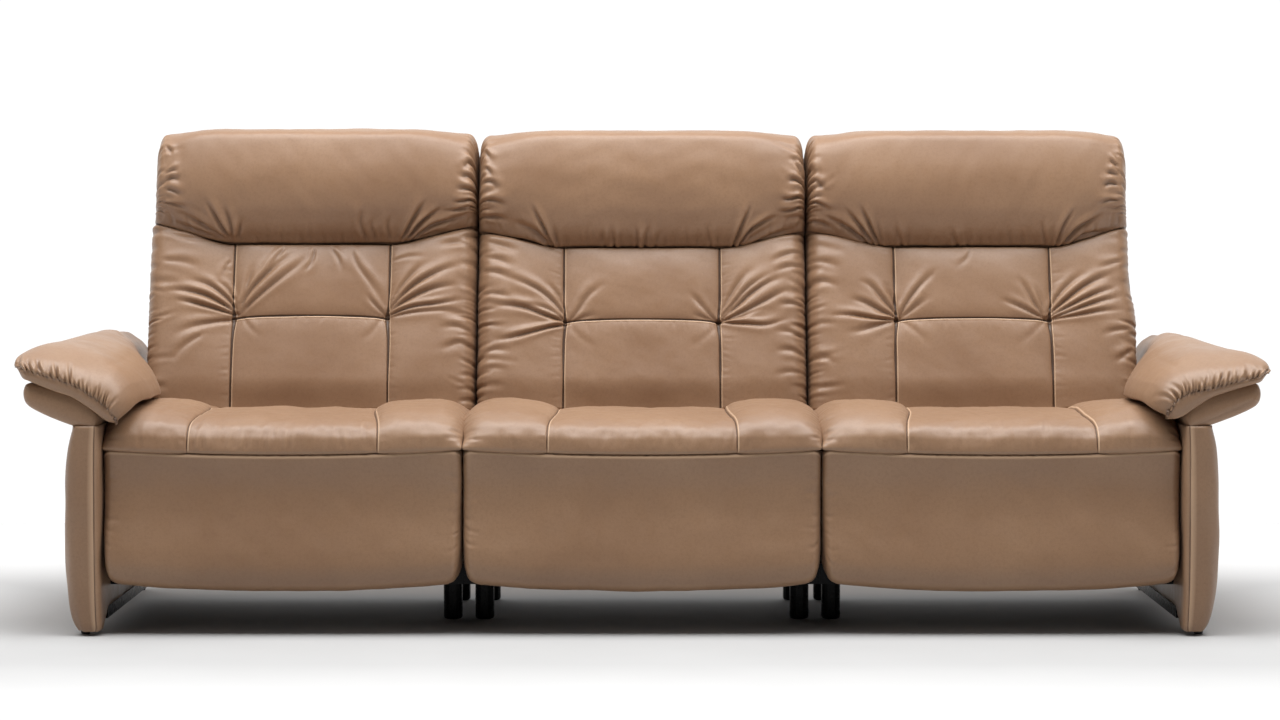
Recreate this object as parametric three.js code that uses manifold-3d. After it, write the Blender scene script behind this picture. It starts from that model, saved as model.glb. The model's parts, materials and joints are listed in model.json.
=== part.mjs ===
// A three-seat reclining sofa with leather cushions, swing-up leg rests and reclining backs.
// Lengths are in millimetres, +Z is up, the sofa faces -Y and the origin is the middle of its footprint.
// Y is counted from the plane of the front panels until the whole group is centred at the end.

import * as THREE from 'three';
import { mergeVertices } from 'three/addons/utils/BufferGeometryUtils.js';
import Module from 'manifold-3d';

const wasm = await Module();
wasm.setup();

// Driving dimensions of the whole sofa
const seatPitch = 700;
const touchGap = 0.3;
const moduleGap = 4;
const overrun = 20;
const frameUnderside = 88;
const backLeanDegrees = 18.5;
const roundSteps = 16;

const radians = THREE.MathUtils.degToRad;
const sectionHalf = (seatPitch - moduleGap) / 2;
const armInner = 1.5 * seatPitch + touchGap / 2;

// Seat deck, the box on the base frame: its walls, its top plate and the hinge line before it
const deck = { height: 228.4, edgeInset: 28, wall: 18, plate: 15, wallMargin: 30, plateSetback: 38 };
const base = { height: 40, sideRail: 52, crossRail: 50, front: 80 };
const deckTop = frameUnderside + base.height + touchGap + deck.height;
const deckSide = sectionHalf - deck.edgeInset;

// Black round legs under the base frame
const leg = { radius: 19.25, footRound: 5, inset: 32, front: 230, rear: 520 };

// Leg rest hinge, where the front panel swings up
const hinge = {
  y: 22, drop: 26.7, rod: 5, play: 0.3, eye: 9, earAt: 250, earWide: 8, earReach: 50, plateAt: 262,
  plateWide: 8, plateStep: 12, rodEnd: 8,
};
const hingeZ = deckTop - hinge.drop;
const deckFront = hinge.y + deck.plateSetback;
const crank = { radius: 78, leadDegrees: 40, wide: 8, bar: 8, pin: 4, pinReach: 30, at: 12.6 };

// Front panel: the leg rest pad and the board behind it
const panel = {
  bottom: 86, thick: 40, lip: 10, lipTop: 12, crown: 20, corner: 46, sag: 14, edge: 6,
};
const board = { footInset: 14, headDrop: 95, thick: 12, edgeInset: 48 };
const panelTop = hingeZ + panel.lipTop;
const boardFoot = panel.bottom + board.footInset;

// Reclining back, drawn in its own frame: origin at the pivot, front towards -Y
const pivot = { y: 530, drop: 26.7, pin: 8, play: 0.3, setback: 2 };
const pivotZ = deckTop - pivot.drop;
const backPad = {
  bottom: 58, height: 344, thick: 78, crown: 20, seam: 165, seamWide: 14, seamDeep: 10, edge: 24,
  waist: 187, waistDeep: 9,
};
const headrest = {
  gap: 2, height: 285, thick: 82, rear: 58, crown: 16, seam: 185, seamWide: 16, seamDeep: 4, edge: 26,
};
const headrestFoot = backPad.bottom + backPad.height + headrest.gap;
const backBoard = { tail: 15, headDrop: 89, edgeInset: 48, thick: 16 };
const backBoardTop = headrestFoot + headrest.height - backBoard.headDrop;
const rearPad = { footInset: 2, thick: 42, crown: 8, edge: 14 };
const wallRear = pivot.y + deck.wallMargin;
const valance = { footRise: 4, headDrop: 4.7, thick: 15, edgeInset: 2 };

// Seat cushion on the deck, up to the back's pivots
const seat = {
  front: 8, rearGap: 30, crestY: 170, rise: 70, rearRise: 41, bolster: 15, seam: 176, seamWide: 14,
  seamDeep: 9, edge: 20, noseLift: 16,
};
const seatUnder = deckTop + touchGap;
const seatRear = pivot.y - seat.rearGap;

// Drive: a motor with its housing under the deck and a rod that pushes the crank
const drive = {
  slotPlay: 2.2, slotWall: 5, slotRoof: 4.5, block: 16, rod: 7, rodLength: 258, play: 0.4, start: 123,
  length: 285, half: 28, floorDrop: 25, ceilingRise: 31, motorRadius: 24, motorOffset: 48, motorStart: 55,
  motorLength: 180, lugWide: 30, lugDeep: 40,
};

// Arms: a panel, a wing on it and a pad over both, each sized from the one below
const arm = {
  front: -38, rear: 700, thick: 72, top: 405, bottom: 45, toe: 8, toeFront: 16, toeRear: 70, bulge: 9,
  frontRound: 30,
};
const armOuter = armInner + arm.thick;
const wing = { height: 70, reach: 81, edgeRise: 25, edgeDrop: 13, inset: 10, frontInset: 8, rearInset: 10 };
const wingTop = arm.top + wing.height;
const wingOuter = armOuter + wing.reach;
const pad = {
  frontReach: 14, rearReach: 5, rise: 95, overhang: 19, crestIn: 60, rootIn: 8, lobeReach: 74, lobeGap: 38,
  lobeRun: 22, lobeClear: 10, lipDrop: 34, lipRear: 38, frontDrop: 62, roundRun: 60, taper: 6,
};
const padFront = arm.front - pad.frontReach;
const padCrest = wingTop + pad.rise;
const lobeUnder = seatUnder + seat.rise + seat.bolster + pad.lobeClear;
const lobeEnd = seatRear - pad.lobeGap;
const rail = { wide: 12, bottom: 22, rearInset: 60, inset: 4 };
const glide = { radius: 9, frontInset: 42, rearInset: 20, inset: 36 };

// Colours and finishes
const leather = { color: 0xa88769, roughness: 0.45, metalness: 0 };
const darkLeather = { color: 0x8f7056, roughness: 0.5, metalness: 0 };
const blackLacquer = { color: 0x111111, roughness: 0.2, metalness: 0.1 };
const plywood = { color: 0xb99b6b, roughness: 0.8, metalness: 0 };
const steel = { color: 0x6f7376, roughness: 0.4, metalness: 0.9 };
const blackPlastic = { color: 0x1d1d1f, roughness: 0.55, metalness: 0 };

// Shape outlines drawn in Y and Z are pushed along X with this basis
const acrossBasis = new THREE.Matrix4().makeBasis(
  new THREE.Vector3(0, 1, 0),
  new THREE.Vector3(0, 0, 1),
  new THREE.Vector3(1, 0, 0),
);

function box(xFrom, xTo, yFrom, yTo, zFrom, zTo) {
  const geometry = new THREE.BoxGeometry(xTo - xFrom, yTo - yFrom, zTo - zFrom);
  return geometry.translate((xFrom + xTo) / 2, (yFrom + yTo) / 2, (zFrom + zTo) / 2);
}

function rodAcross(radius, xFrom, xTo, y, z) {
  const geometry = new THREE.CylinderGeometry(radius, radius, xTo - xFrom, roundSteps);
  return geometry.rotateZ(Math.PI / 2).translate((xFrom + xTo) / 2, y, z);
}

function rodAlong(radius, yFrom, yTo, x, z) {
  const geometry = new THREE.CylinderGeometry(radius, radius, yTo - yFrom, roundSteps);
  return geometry.translate(x, (yFrom + yTo) / 2, z);
}

function plateAcross(outline, xFrom, xTo) {
  const options = { depth: xTo - xFrom, bevelEnabled: false, curveSegments: roundSteps / 2 };
  return new THREE.ExtrudeGeometry(outline, options).applyMatrix4(acrossBasis).translate(xFrom, 0, 0);
}

// Booleans
function toSolid(geometry) {
  const plain = geometry.clone();
  plain.deleteAttribute('normal');
  plain.deleteAttribute('uv');
  const merged = mergeVertices(plain);
  return new wasm.Manifold(new wasm.Mesh({
    numProp: 3,
    vertProperties: new Float32Array(merged.attributes.position.array),
    triVerts: new Uint32Array(merged.index.array),
  }));
}

function join(...geometries) {
  return geometries.map(toSolid).reduce((whole, piece) => whole.add(piece));
}

function cut(solid, ...geometries) {
  return geometries.map(toSolid).reduce((whole, piece) => whole.subtract(piece), solid);
}

function toGeometry(solid) {
  const { vertProperties, triVerts } = solid.getMesh();
  const geometry = new THREE.BufferGeometry();
  geometry.setAttribute('position', new THREE.BufferAttribute(vertProperties, 3));
  geometry.setIndex(new THREE.BufferAttribute(triVerts, 1));
  geometry.computeVertexNormals();
  return geometry;
}

// Soft pieces are lofts: closed outlines of equal point count, one at each station
function ringCap(outline, reversed) {
  const clockwise = THREE.ShapeUtils.isClockWise(outline);
  return THREE.ShapeUtils.triangulateShape(outline, []).map(([a, b, c]) => {
    const capClockwise = THREE.ShapeUtils.isClockWise([outline[a], outline[b], outline[c]]);
    const follows = capClockwise === clockwise;
    return follows === reversed ? [a, c, b] : [a, b, c];
  });
}

function signedVolume(points, faces) {
  const cross = new THREE.Vector3();
  return faces.reduce((sum, [a, b, c]) => sum + points[a].dot(cross.crossVectors(points[b], points[c])), 0);
}

function loft(sections, place) {
  const count = sections[0].outline.length;
  const last = (sections.length - 1) * count;
  const points = sections.flatMap(({ at, outline }) => outline.map((point) => place(at, point)));
  const faces = ringCap(sections[0].outline, true);
  for (let ring = 0; ring < last; ring += count) {
    for (let i = 0; i < count; i++) {
      const a = ring + i;
      const b = ring + ((i + 1) % count);
      faces.push([a, b, b + count], [a, b + count, a + count]);
    }
  }
  ringCap(sections.at(-1).outline, false).forEach((face) => faces.push(face.map((index) => index + last)));
  const outward = signedVolume(points, faces) > 0;
  const geometry = new THREE.BufferGeometry().setFromPoints(points);
  geometry.setIndex((outward ? faces : faces.map(([a, b, c]) => [a, c, b])).flat());
  geometry.computeVertexNormals();
  return geometry;
}

const loftAcross = (sections) => loft(sections, (x, { x: y, y: z }) => new THREE.Vector3(x, y, z));
const loftBack = (sections, side) => loft(sections, (y, { x, y: z }) => new THREE.Vector3(side * x, y, z));

// How far a rounded edge has drawn in, at a distance from the end of the piece
function edgeInset(distance, radius) {
  const reach = Math.max(radius - distance, 0);
  return radius - Math.sqrt(radius * radius - reach * reach);
}

// A sewn channel: full depth on the seam, nothing one width away
function seamDip(distance, width, depth) {
  const share = Math.min(Math.abs(distance) / width, 1);
  return depth * (1 - share) * (1 - share);
}

// Stations across a cushion: its two channels, the panels between them and the rounded ends
function stationsAcross(seam, seamWide, edge) {
  const panelShares = [0, 0.5];
  const sideShare = 0.55;
  const edgeShares = [1, 0.45, 0.12, 0];
  const right = [
    ...panelShares.map((share) => share * (seam - seamWide)),
    seam - seamWide, seam, seam + seamWide,
    THREE.MathUtils.lerp(seam + seamWide, sectionHalf - edge, sideShare),
    ...edgeShares.map((share) => sectionHalf - share * edge),
  ];
  const left = right.slice(1).reverse().map((x) => -x);
  return [...left, ...right];
}

// A crown is full in the middle of a seat and keeps a little of its height at the ends
const endCrownShare = 0.12;

function crownAt(x) {
  const share = x / sectionHalf;
  return 1 - (1 - endCrownShare) * share * share;
}

// Seat cushion: a waterfall front, a lower centre panel and a raised bolster on each side
function seatOutline(x) {
  const side = Math.abs(x);
  const under = seatUnder;
  const bolsterShare = Math.max(side - seat.seam, 0) / (sectionHalf - seat.seam);
  const inset = edgeInset(sectionHalf - side, seat.edge);
  const dip = seamDip(side - seat.seam, seat.seamWide, seat.seamDeep);
  const loss = inset + dip;
  const crest = under + seat.rise + seat.bolster * Math.sin(Math.PI * bolsterShare) - loss;
  const noseFoot = under + seat.noseLift;
  const noseShares = [0, 0.16, 0.34, 0.54, 0.76, 1];
  const nose = noseShares.map((share) => {
    const angle = share * Math.PI / 2;
    const y = seat.front + loss * Math.cos(angle) + (seat.crestY - seat.front) * (1 - Math.cos(angle));
    return new THREE.Vector2(y, noseFoot + (crest - noseFoot) * Math.sin(angle));
  });
  const rearTop = under + seat.rearRise - loss;
  return [
    new THREE.Vector2(seat.front + seat.noseLift / 2 + loss, under),
    ...nose,
    new THREE.Vector2((seat.crestY + seatRear) / 2, THREE.MathUtils.lerp(rearTop, crest, 0.75)),
    new THREE.Vector2(seatRear, rearTop),
    new THREE.Vector2(seatRear, under),
  ];
}

function seatCushion() {
  const stations = stationsAcross(seat.seam, seat.seamWide, seat.edge);
  return loftAcross(stations.map((x) => ({ at: x, outline: seatOutline(x) })));
}

// Leg rest pad: a crowned panel with round lower corners and a thin lip in front of its hinge rod
function panelOutline(x) {
  const side = Math.abs(x);
  const share = x / sectionHalf;
  const inset = edgeInset(sectionHalf - side, panel.edge);
  const cornerRise = edgeInset(sectionHalf - side, panel.corner);
  const bottom = panel.bottom + panel.sag * share * share + cornerRise;
  const shoulder = hingeZ - hinge.eye * 2;
  const bulgeShares = [0.04, 0.15, 0.4, 0.65, 0.88];
  const front = bulgeShares.map((height) => {
    const bulge = panel.crown * Math.sin(Math.PI * height) * crownAt(x);
    return new THREE.Vector2(inset - bulge, THREE.MathUtils.lerp(bottom, panelTop, height));
  });
  return [
    new THREE.Vector2(panel.thick, bottom),
    new THREE.Vector2(panel.lip + inset, bottom),
    ...front,
    new THREE.Vector2(inset / 2, panelTop - panel.lipTop / 2),
    new THREE.Vector2(panel.lip / 2, panelTop),
    new THREE.Vector2(panel.lip, panelTop - panel.lipTop / 2),
    new THREE.Vector2(panel.lip, shoulder),
    new THREE.Vector2(panel.thick, shoulder),
  ];
}

function legrestPad() {
  const stations = stationsAcross(seat.seam, seat.seamWide, panel.corner);
  return loftAcross(stations.map((x) => ({ at: x, outline: panelOutline(x) })));
}

// The back cushion stands in front of the back board: two side panels and two stacked centre panels
const backFace = -backBoard.thick / 2 - touchGap;

function backPadOutline(x) {
  const side = Math.abs(x);
  const { bottom, seam, seamWide, edge } = backPad;
  const top = bottom + backPad.height;
  const waist = bottom + backPad.waist;
  const endRound = edgeInset(sectionHalf - side, edge);
  const channel = seamDip(side - seam, seamWide, backPad.seamDeep);
  const centre = side <= seam ? 1 : 0;
  const endShares = [0, 0.3, 1];
  const rows = [
    ...endShares.map((share) => bottom + share * edge),
    (bottom + waist) / 2,
    waist - seamWide, waist, waist + seamWide,
    (top + waist) / 2,
    ...endShares.map((share) => top - share * edge).reverse(),
  ];
  const front = rows.map((z) => {
    const swell = backPad.crown * crownAt(x) * Math.sin(Math.PI * (z - bottom) / (top - bottom));
    const pinch = centre * seamDip(z - waist, seamWide, backPad.waistDeep);
    const round = edgeInset(Math.min(z - bottom, top - z), edge);
    const relief = swell - Math.max(channel, pinch) - Math.min(round + endRound, backPad.thick / 2);
    return new THREE.Vector2(backFace - backPad.thick - relief, z);
  });
  return [new THREE.Vector2(backFace, bottom), ...front, new THREE.Vector2(backFace, top)];
}

function backCushion() {
  const stations = stationsAcross(backPad.seam, backPad.seamWide, backPad.edge);
  return loftAcross(stations.map((x) => ({ at: x, outline: backPadOutline(x) })));
}

// The headrest rolls forward of the back cushion and over the top of the back board.
// Each row holds a share of its thickness, measured forward from the board, and of its height.
const headrestShares = [
  [1.0, 0], [1.14, 0.06], [1.38, 0.24], [1.42, 0.42], [1.28, 0.62], [0.98, 0.82], [0.6, 0.95], [0.22, 1],
  [-0.3, 0.96], [-0.66, 0.85],
];
const headrestCoreShare = [0.4, 0.55];

function headrestOutline(x) {
  const side = Math.abs(x);
  const endRound = edgeInset(sectionHalf - side, headrest.edge);
  const channel = seamDip(side - headrest.seam, headrest.seamWide, headrest.seamDeep);
  const swell = headrest.crown * (crownAt(x) - 1);
  const place = ([forward, up]) => new THREE.Vector2(
    backFace - forward * headrest.thick,
    headrestFoot + up * headrest.height,
  );
  const core = place(headrestCoreShare);
  const roll = headrestShares.map((shares) => {
    const point = place(shares);
    const inward = core.clone().sub(point);
    const loss = endRound + channel - swell * Math.min(shares[1], 1 - shares[1]);
    return point.add(inward.setLength(Math.max(loss, 0)));
  });
  const saddle = backBoardTop + touchGap;
  return [
    new THREE.Vector2(backFace, headrestFoot),
    ...roll,
    new THREE.Vector2(headrest.rear, saddle),
    new THREE.Vector2(backFace, saddle),
  ];
}

function headrestCushion() {
  const stations = stationsAcross(headrest.seam, headrest.seamWide, headrest.edge);
  return loftAcross(stations.map((x) => ({ at: x, outline: headrestOutline(x) })));
}

// The rear pad is the upholstered rear of the back, under the end of the headrest
function rearPadOutline(x) {
  const inset = edgeInset(sectionHalf - Math.abs(x), rearPad.edge);
  const face = backBoard.thick / 2 + touchGap;
  const rear = face + rearPad.thick - inset;
  const bottom = backPad.bottom + rearPad.footInset;
  const top = backBoardTop;
  const middle = (bottom + top) / 2;
  return [
    new THREE.Vector2(face, bottom),
    new THREE.Vector2(face, top),
    new THREE.Vector2(rear, top),
    new THREE.Vector2(rear + rearPad.crown * crownAt(x), middle),
    new THREE.Vector2(rear, bottom + rearPad.edge),
    new THREE.Vector2(rear - rearPad.edge, bottom),
  ];
}

function rearPadBody() {
  const stations = stationsAcross(seat.seam, seat.seamWide, rearPad.edge);
  return loftAcross(stations.map((x) => ({ at: x, outline: rearPadOutline(x) })));
}

// Wooden and metal pieces of one seat
function baseFrame() {
  const half = (seatPitch - touchGap) / 2;
  const top = frameUnderside + base.height;
  const ring = join(box(-half, half, base.front, wallRear, frameUnderside, top));
  const hole = box(
    base.sideRail - half, half - base.sideRail,
    base.front + base.crossRail, wallRear - base.crossRail,
    frameUnderside - overrun, top + overrun,
  );
  return toGeometry(cut(ring, hole));
}

// A link with a round eye on the hinge axis, a level arm to the rear and an upright bar down or up
function linkOutline(barFront, barRear, armRear, barEnd) {
  const { y, eye } = hinge;
  const z = hingeZ;
  const up = barEnd > z;
  const shape = new THREE.Shape();
  shape.absarc(y, z, eye, -Math.PI / 2, Math.PI / 2, true);
  if (up) {
    shape.lineTo(barFront, z + eye);
    shape.lineTo(barFront, barEnd);
    shape.lineTo(barRear, barEnd);
    shape.lineTo(armRear, z - eye);
  } else {
    shape.lineTo(barRear, z + eye);
    shape.lineTo(barRear, barEnd);
    shape.lineTo(barFront, barEnd);
    shape.lineTo(barFront, z - eye);
  }
  shape.closePath();
  return shape;
}

function mirrored(plate) {
  return [1, -1].map((side) => plate(side));
}

// The deck: a top plate, two walls, the hinge ears under its front edge and the pivot holes
function seatDeck() {
  const underside = deckTop - deck.plate;
  const wallFoot = frameUnderside + base.height + touchGap;
  const wallFront = base.front + deck.wall / 2;
  const middle = deckSide + deck.wall / 2;
  const plate = box(-middle, middle, deckFront, seatRear, underside, deckTop);
  const walls = mirrored((side) => {
    const near = side * deckSide;
    const far = side * (deckSide + deck.wall);
    return box(Math.min(near, far), Math.max(near, far), wallFront, wallRear, wallFoot, deckTop);
  });
  const earRear = deckFront + hinge.earReach;
  const earOutline = linkOutline(deckFront, earRear, earRear, underside + deck.plate / 2);
  const ears = mirrored((side) => {
    const at = side * hinge.earAt;
    return plateAcross(earOutline, at - hinge.earWide / 2, at + hinge.earWide / 2);
  });
  const bore = rodAcross(hinge.rod + hinge.play, -middle, middle, hinge.y, hingeZ);
  const through = middle + overrun;
  const pivotBore = rodAcross(pivot.pin + pivot.play, -through, through, pivot.y, pivotZ);
  return toGeometry(cut(join(plate, ...walls, ...ears), bore, pivotBore));
}

function legrestBoard() {
  const front = panel.thick + touchGap;
  const half = sectionHalf - board.edgeInset;
  return box(-half, half, front, front + board.thick, boardFoot, hingeZ - board.headDrop);
}

// Where the crank's pin stands, counted from the hinge axis, when the leg rest is down
const lead = radians(crank.leadDegrees);
const pinRest = {
  y: hinge.y + crank.radius * Math.sin(lead),
  z: hingeZ - crank.radius * Math.cos(lead),
};
const pinLowest = hingeZ - crank.radius;

function legrestLinkage() {
  const plateFront = panel.thick + board.thick + 2 * touchGap;
  const plateRear = plateFront + hinge.plateStep;
  const plateOutline = linkOutline(plateFront, plateRear, plateRear, boardFoot + hinge.plateStep);
  const plates = mirrored((side) => {
    const at = side * hinge.plateAt;
    return plateAcross(plateOutline, at - hinge.plateWide / 2, at + hinge.plateWide / 2);
  });
  const rodHalf = hinge.plateAt + hinge.rodEnd;
  const rod = rodAcross(hinge.rod, -rodHalf, rodHalf, hinge.y, hingeZ);
  const barOutline = linkOutline(pinRest.y - crank.bar, pinRest.y + crank.bar, 0, pinRest.z - crank.bar);
  const bar = plateAcross(barOutline, crank.at - crank.wide / 2, crank.at + crank.wide / 2);
  const pinEnd = crank.at + crank.wide / 4;
  const pin = rodAcross(crank.pin, pinEnd - crank.pinReach, pinEnd, pinRest.y, pinRest.z);
  return toGeometry(join(...plates, rod, bar, pin));
}

// The rod's middle height follows the pin's rise and fall, which its slot has to hold
const slotLow = pinLowest - crank.pin - drive.slotPlay / 2;
const slotHigh = pinRest.z + crank.pin + drive.slotPlay / 2;
const rodHeight = (slotLow + slotHigh) / 2;

function actuatorRod() {
  const slotHalf = crank.pin + drive.slotPlay;
  const blockHalf = slotHalf + drive.slotWall;
  const { y } = pinRest;
  const block = box(
    -drive.block / 2, drive.block / 2, y - blockHalf, y + blockHalf, slotLow - drive.slotRoof,
    slotHigh + drive.slotRoof,
  );
  const rod = rodAlong(drive.rod, y + slotHalf + drive.slotWall / 2, y + drive.rodLength, 0, rodHeight);
  const slot = box(-overrun, overrun, y - slotHalf, y + slotHalf, slotLow, slotHigh);
  return toGeometry(cut(join(block, rod), slot));
}

function motor() {
  const { half } = drive;
  const front = pinRest.y + drive.start;
  const rear = front + drive.length;
  const floor = rodHeight - drive.floorDrop;
  const ceiling = rodHeight + drive.ceilingRise;
  const barrelFront = front + drive.motorStart;
  const barrelRear = barrelFront + drive.motorLength;
  const housing = box(-half, half, front, rear, floor, ceiling);
  const barrel = rodAlong(drive.motorRadius, barrelFront, barrelRear, drive.motorOffset, rodHeight);
  const lugTop = deckTop - deck.plate - touchGap;
  const lugHalf = drive.lugWide / 2;
  const lugs = [front, rear - drive.lugDeep].map((y) => (
    box(-lugHalf, lugHalf, y, y + drive.lugDeep, (floor + ceiling) / 2, lugTop)
  ));
  const boreRear = pinRest.y + drive.rodLength + drive.slotWall;
  const bore = rodAlong(drive.rod + drive.play, front - overrun, boreRear, 0, rodHeight);
  return toGeometry(cut(join(housing, barrel, ...lugs), bore));
}

function backFrame() {
  const { thick, tail } = backBoard;
  const half = sectionHalf - backBoard.edgeInset;
  const sheet = box(-half, half, -thick / 2, thick / 2, -tail, backBoardTop);
  const pinReach = deckSide + deck.wall - pivot.setback;
  const pins = rodAcross(pivot.pin, -pinReach, pinReach, 0, 0);
  return toGeometry(join(sheet, pins));
}

function rearValance() {
  const front = wallRear + touchGap;
  const half = sectionHalf - valance.edgeInset;
  const foot = frameUnderside + valance.footRise;
  return box(-half, half, front, front + valance.thick, foot, deckTop - valance.headDrop);
}

// A round foot with a rolled lower edge, standing on the floor
function roundFoot(radius, round, height) {
  const profile = new THREE.Path();
  profile.moveTo(0, 0);
  profile.lineTo(radius - round, 0);
  profile.absarc(radius - round, round, round, -Math.PI / 2, 0, false);
  profile.lineTo(radius, height);
  profile.lineTo(0, height);
  return new THREE.LatheGeometry(profile.getPoints(1), roundSteps).rotateX(Math.PI / 2);
}

// Arms are lofted front to rear, for the right side, and mirrored for the left
const smooth = (value, from, to) => THREE.MathUtils.smoothstep(value, from, to);

function armPanelOutline(y) {
  const round = edgeInset(y - arm.front, arm.frontRound);
  const bottom = THREE.MathUtils.lerp(arm.toe, arm.bottom, smooth(y, arm.toeFront, arm.toeRear));
  const inner = armInner + round / 3;
  const outer = armOuter - round / 2;
  const height = arm.top - bottom;
  const sideShares = [0.12, 0.5, 0.88];
  const side = sideShares.map((share) => new THREE.Vector2(
    outer + arm.bulge * Math.sin(Math.PI * share),
    bottom + share * height,
  ));
  return [
    new THREE.Vector2(inner, bottom),
    new THREE.Vector2(outer - arm.bulge, bottom),
    ...side,
    new THREE.Vector2(outer - arm.bulge, arm.top),
    new THREE.Vector2(inner, arm.top),
  ];
}

function armPanel(side) {
  const roundShares = [0, 0.12, 0.45, 1];
  const runShares = [0.3, 0.65, 1];
  const stations = [
    ...roundShares.map((share) => arm.front + share * arm.frontRound),
    arm.toeFront,
    (arm.toeFront + arm.toeRear) / 2,
    arm.toeRear,
    ...runShares.map((share) => THREE.MathUtils.lerp(arm.toeRear, arm.rear, share)),
  ];
  return loftBack(stations.map((y) => ({ at: y, outline: armPanelOutline(y) })), side);
}

// The wing is the under-roll between the arm panel and the pad
function armWing(side) {
  const front = arm.front + wing.frontInset;
  const rear = arm.rear - wing.rearInset;
  const inner = armInner + wing.inset;
  const roundShares = [0, 0.15, 0.5, 1];
  const stations = [
    ...roundShares.map((share) => front + share * arm.frontRound),
    (front + rear) / 2,
    rear,
  ];
  const foot = arm.top + touchGap;
  return loftBack(stations.map((y) => {
    const reach = wingOuter - edgeInset(y - front, arm.frontRound);
    const low = arm.top + wing.edgeRise;
    const high = wingTop - wing.edgeDrop;
    const outline = [
      new THREE.Vector2(inner, foot),
      new THREE.Vector2(armOuter - arm.bulge, foot),
      new THREE.Vector2(reach - arm.bulge, low),
      new THREE.Vector2(reach, (low + high) / 2),
      new THREE.Vector2(reach - arm.bulge / 2, high),
      new THREE.Vector2(reach - 2 * arm.bulge, wingTop),
      new THREE.Vector2(inner, wingTop),
    ];
    return { at: y, outline };
  }), side);
}

// The pad drapes over the arm: a high crest, an outer lip and an inner lobe beside the seat.
// The lobe stops in front of the back, and its front end droops lower than the rest.
const padOuterShares = [
  [0.86, 0.01], [0.97, 0.1], [1, 0.32], [0.9, 0.54], [0.62, 0.78], [0.3, 0.94],
];
const padInnerShares = [[0.35, 0.94], [0.72, 0.72], [0.96, 0.4], [1, 0.14], [0.9, 0]];

function padOutline(y) {
  const frontShare = Math.min((y - padFront) / pad.roundRun, 1);
  const fall = 1 - Math.sqrt(1 - (1 - frontShare) * (1 - frontShare));
  const seatTop = wingTop + touchGap;
  const crest = padCrest - pad.frontDrop * fall;
  const outer = wingOuter + pad.overhang - pad.taper * fall;
  const lobeFade = smooth(y, lobeEnd - pad.lobeRun, lobeEnd);
  const inner = THREE.MathUtils.lerp(armInner - pad.lobeReach, armInner + touchGap, lobeFade);
  const under = lobeUnder - pad.lipDrop * (1 - smooth(y, padFront, arm.front + pad.lipRear));
  const root = armInner + pad.rootIn;
  const crestX = armInner + pad.crestIn;
  const between = (from, to, [out, up]) => new THREE.Vector2(
    THREE.MathUtils.lerp(crestX, to, out),
    THREE.MathUtils.lerp(from, crest, up),
  );
  return [
    new THREE.Vector2(root, seatTop),
    ...padOuterShares.map((shares) => between(seatTop, outer, shares)),
    new THREE.Vector2(crestX, crest),
    ...padInnerShares.map((shares) => between(under, inner, shares)),
    new THREE.Vector2(root, under),
  ];
}

function armPad(side) {
  const roundShares = [0, 0.1, 0.3, 0.6, 1];
  const lobeStart = lobeEnd - pad.lobeRun;
  const stations = [
    ...roundShares.map((share) => padFront + share * pad.roundRun),
    (padFront + pad.roundRun + lobeStart) / 2,
    lobeStart,
    lobeEnd,
    arm.rear + pad.rearReach,
  ];
  return loftBack(stations.map((y) => ({ at: y, outline: padOutline(y) })), side);
}

function armRail(side) {
  const near = side * (armInner + rail.inset);
  const far = side * (armInner + rail.inset + rail.wide);
  const top = arm.bottom - touchGap;
  const rear = arm.rear - rail.rearInset;
  return box(Math.min(near, far), Math.max(near, far), arm.toeRear, rear, rail.bottom, top);
}

// Materials and placing
function material(finish) {
  return new THREE.MeshStandardMaterial(finish);
}

const leatherSkin = material(leather);
const darkLeatherSkin = material(darkLeather);
const lacquer = material(blackLacquer);
const wood = material(plywood);
const metal = material(steel);
const plastic = material(blackPlastic);

function piece(name, geometry, skin, x = 0, y = 0, z = 0) {
  const mesh = new THREE.Mesh(geometry, skin);
  mesh.name = name;
  mesh.position.set(x, y, z);
  return mesh;
}

function recliningBack(name) {
  const back = new THREE.Group();
  back.position.set(0, pivot.y, pivotZ);
  back.rotation.x = -radians(backLeanDegrees);
  back.add(
    piece(`${name}_back_frame`, backFrame(), wood),
    piece(`${name}_back_cushion`, backCushion(), leatherSkin),
    piece(`${name}_headrest_cushion`, headrestCushion(), leatherSkin),
    piece(`${name}_rear_pad`, rearPadBody(), darkLeatherSkin),
  );
  return back;
}

function seatModule(name, x) {
  const section = new THREE.Group();
  section.position.x = x;
  section.add(
    piece(`${name}_base_frame`, baseFrame(), lacquer),
    piece(`${name}_seat_deck`, seatDeck(), wood),
    piece(`${name}_seat_cushion`, seatCushion(), leatherSkin),
    piece(`${name}_rear_valance`, rearValance(), darkLeatherSkin),
    piece(`${name}_motor`, motor(), plastic),
    piece(`${name}_actuator_rod`, actuatorRod(), metal),
    piece(`${name}_legrest_pad`, legrestPad(), leatherSkin),
    piece(`${name}_legrest_board`, legrestBoard(), wood),
    piece(`${name}_legrest_linkage`, legrestLinkage(), metal),
    recliningBack(name),
  );
  return section;
}

// Legs stand in pairs on both sides of each joint between two seats
function sharedLegs() {
  const height = frameUnderside - touchGap;
  const joints = [-seatPitch / 2, seatPitch / 2];
  const places = joints.flatMap((joint) => [joint - leg.inset, joint + leg.inset]);
  return places.flatMap((x, index) => [
    piece(`front_leg_${index + 1}`, roundFoot(leg.radius, leg.footRound, height), lacquer, x, leg.front),
    piece(`rear_leg_${index + 1}`, roundFoot(leg.radius, leg.footRound, height), lacquer, x, leg.rear),
  ]);
}

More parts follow.
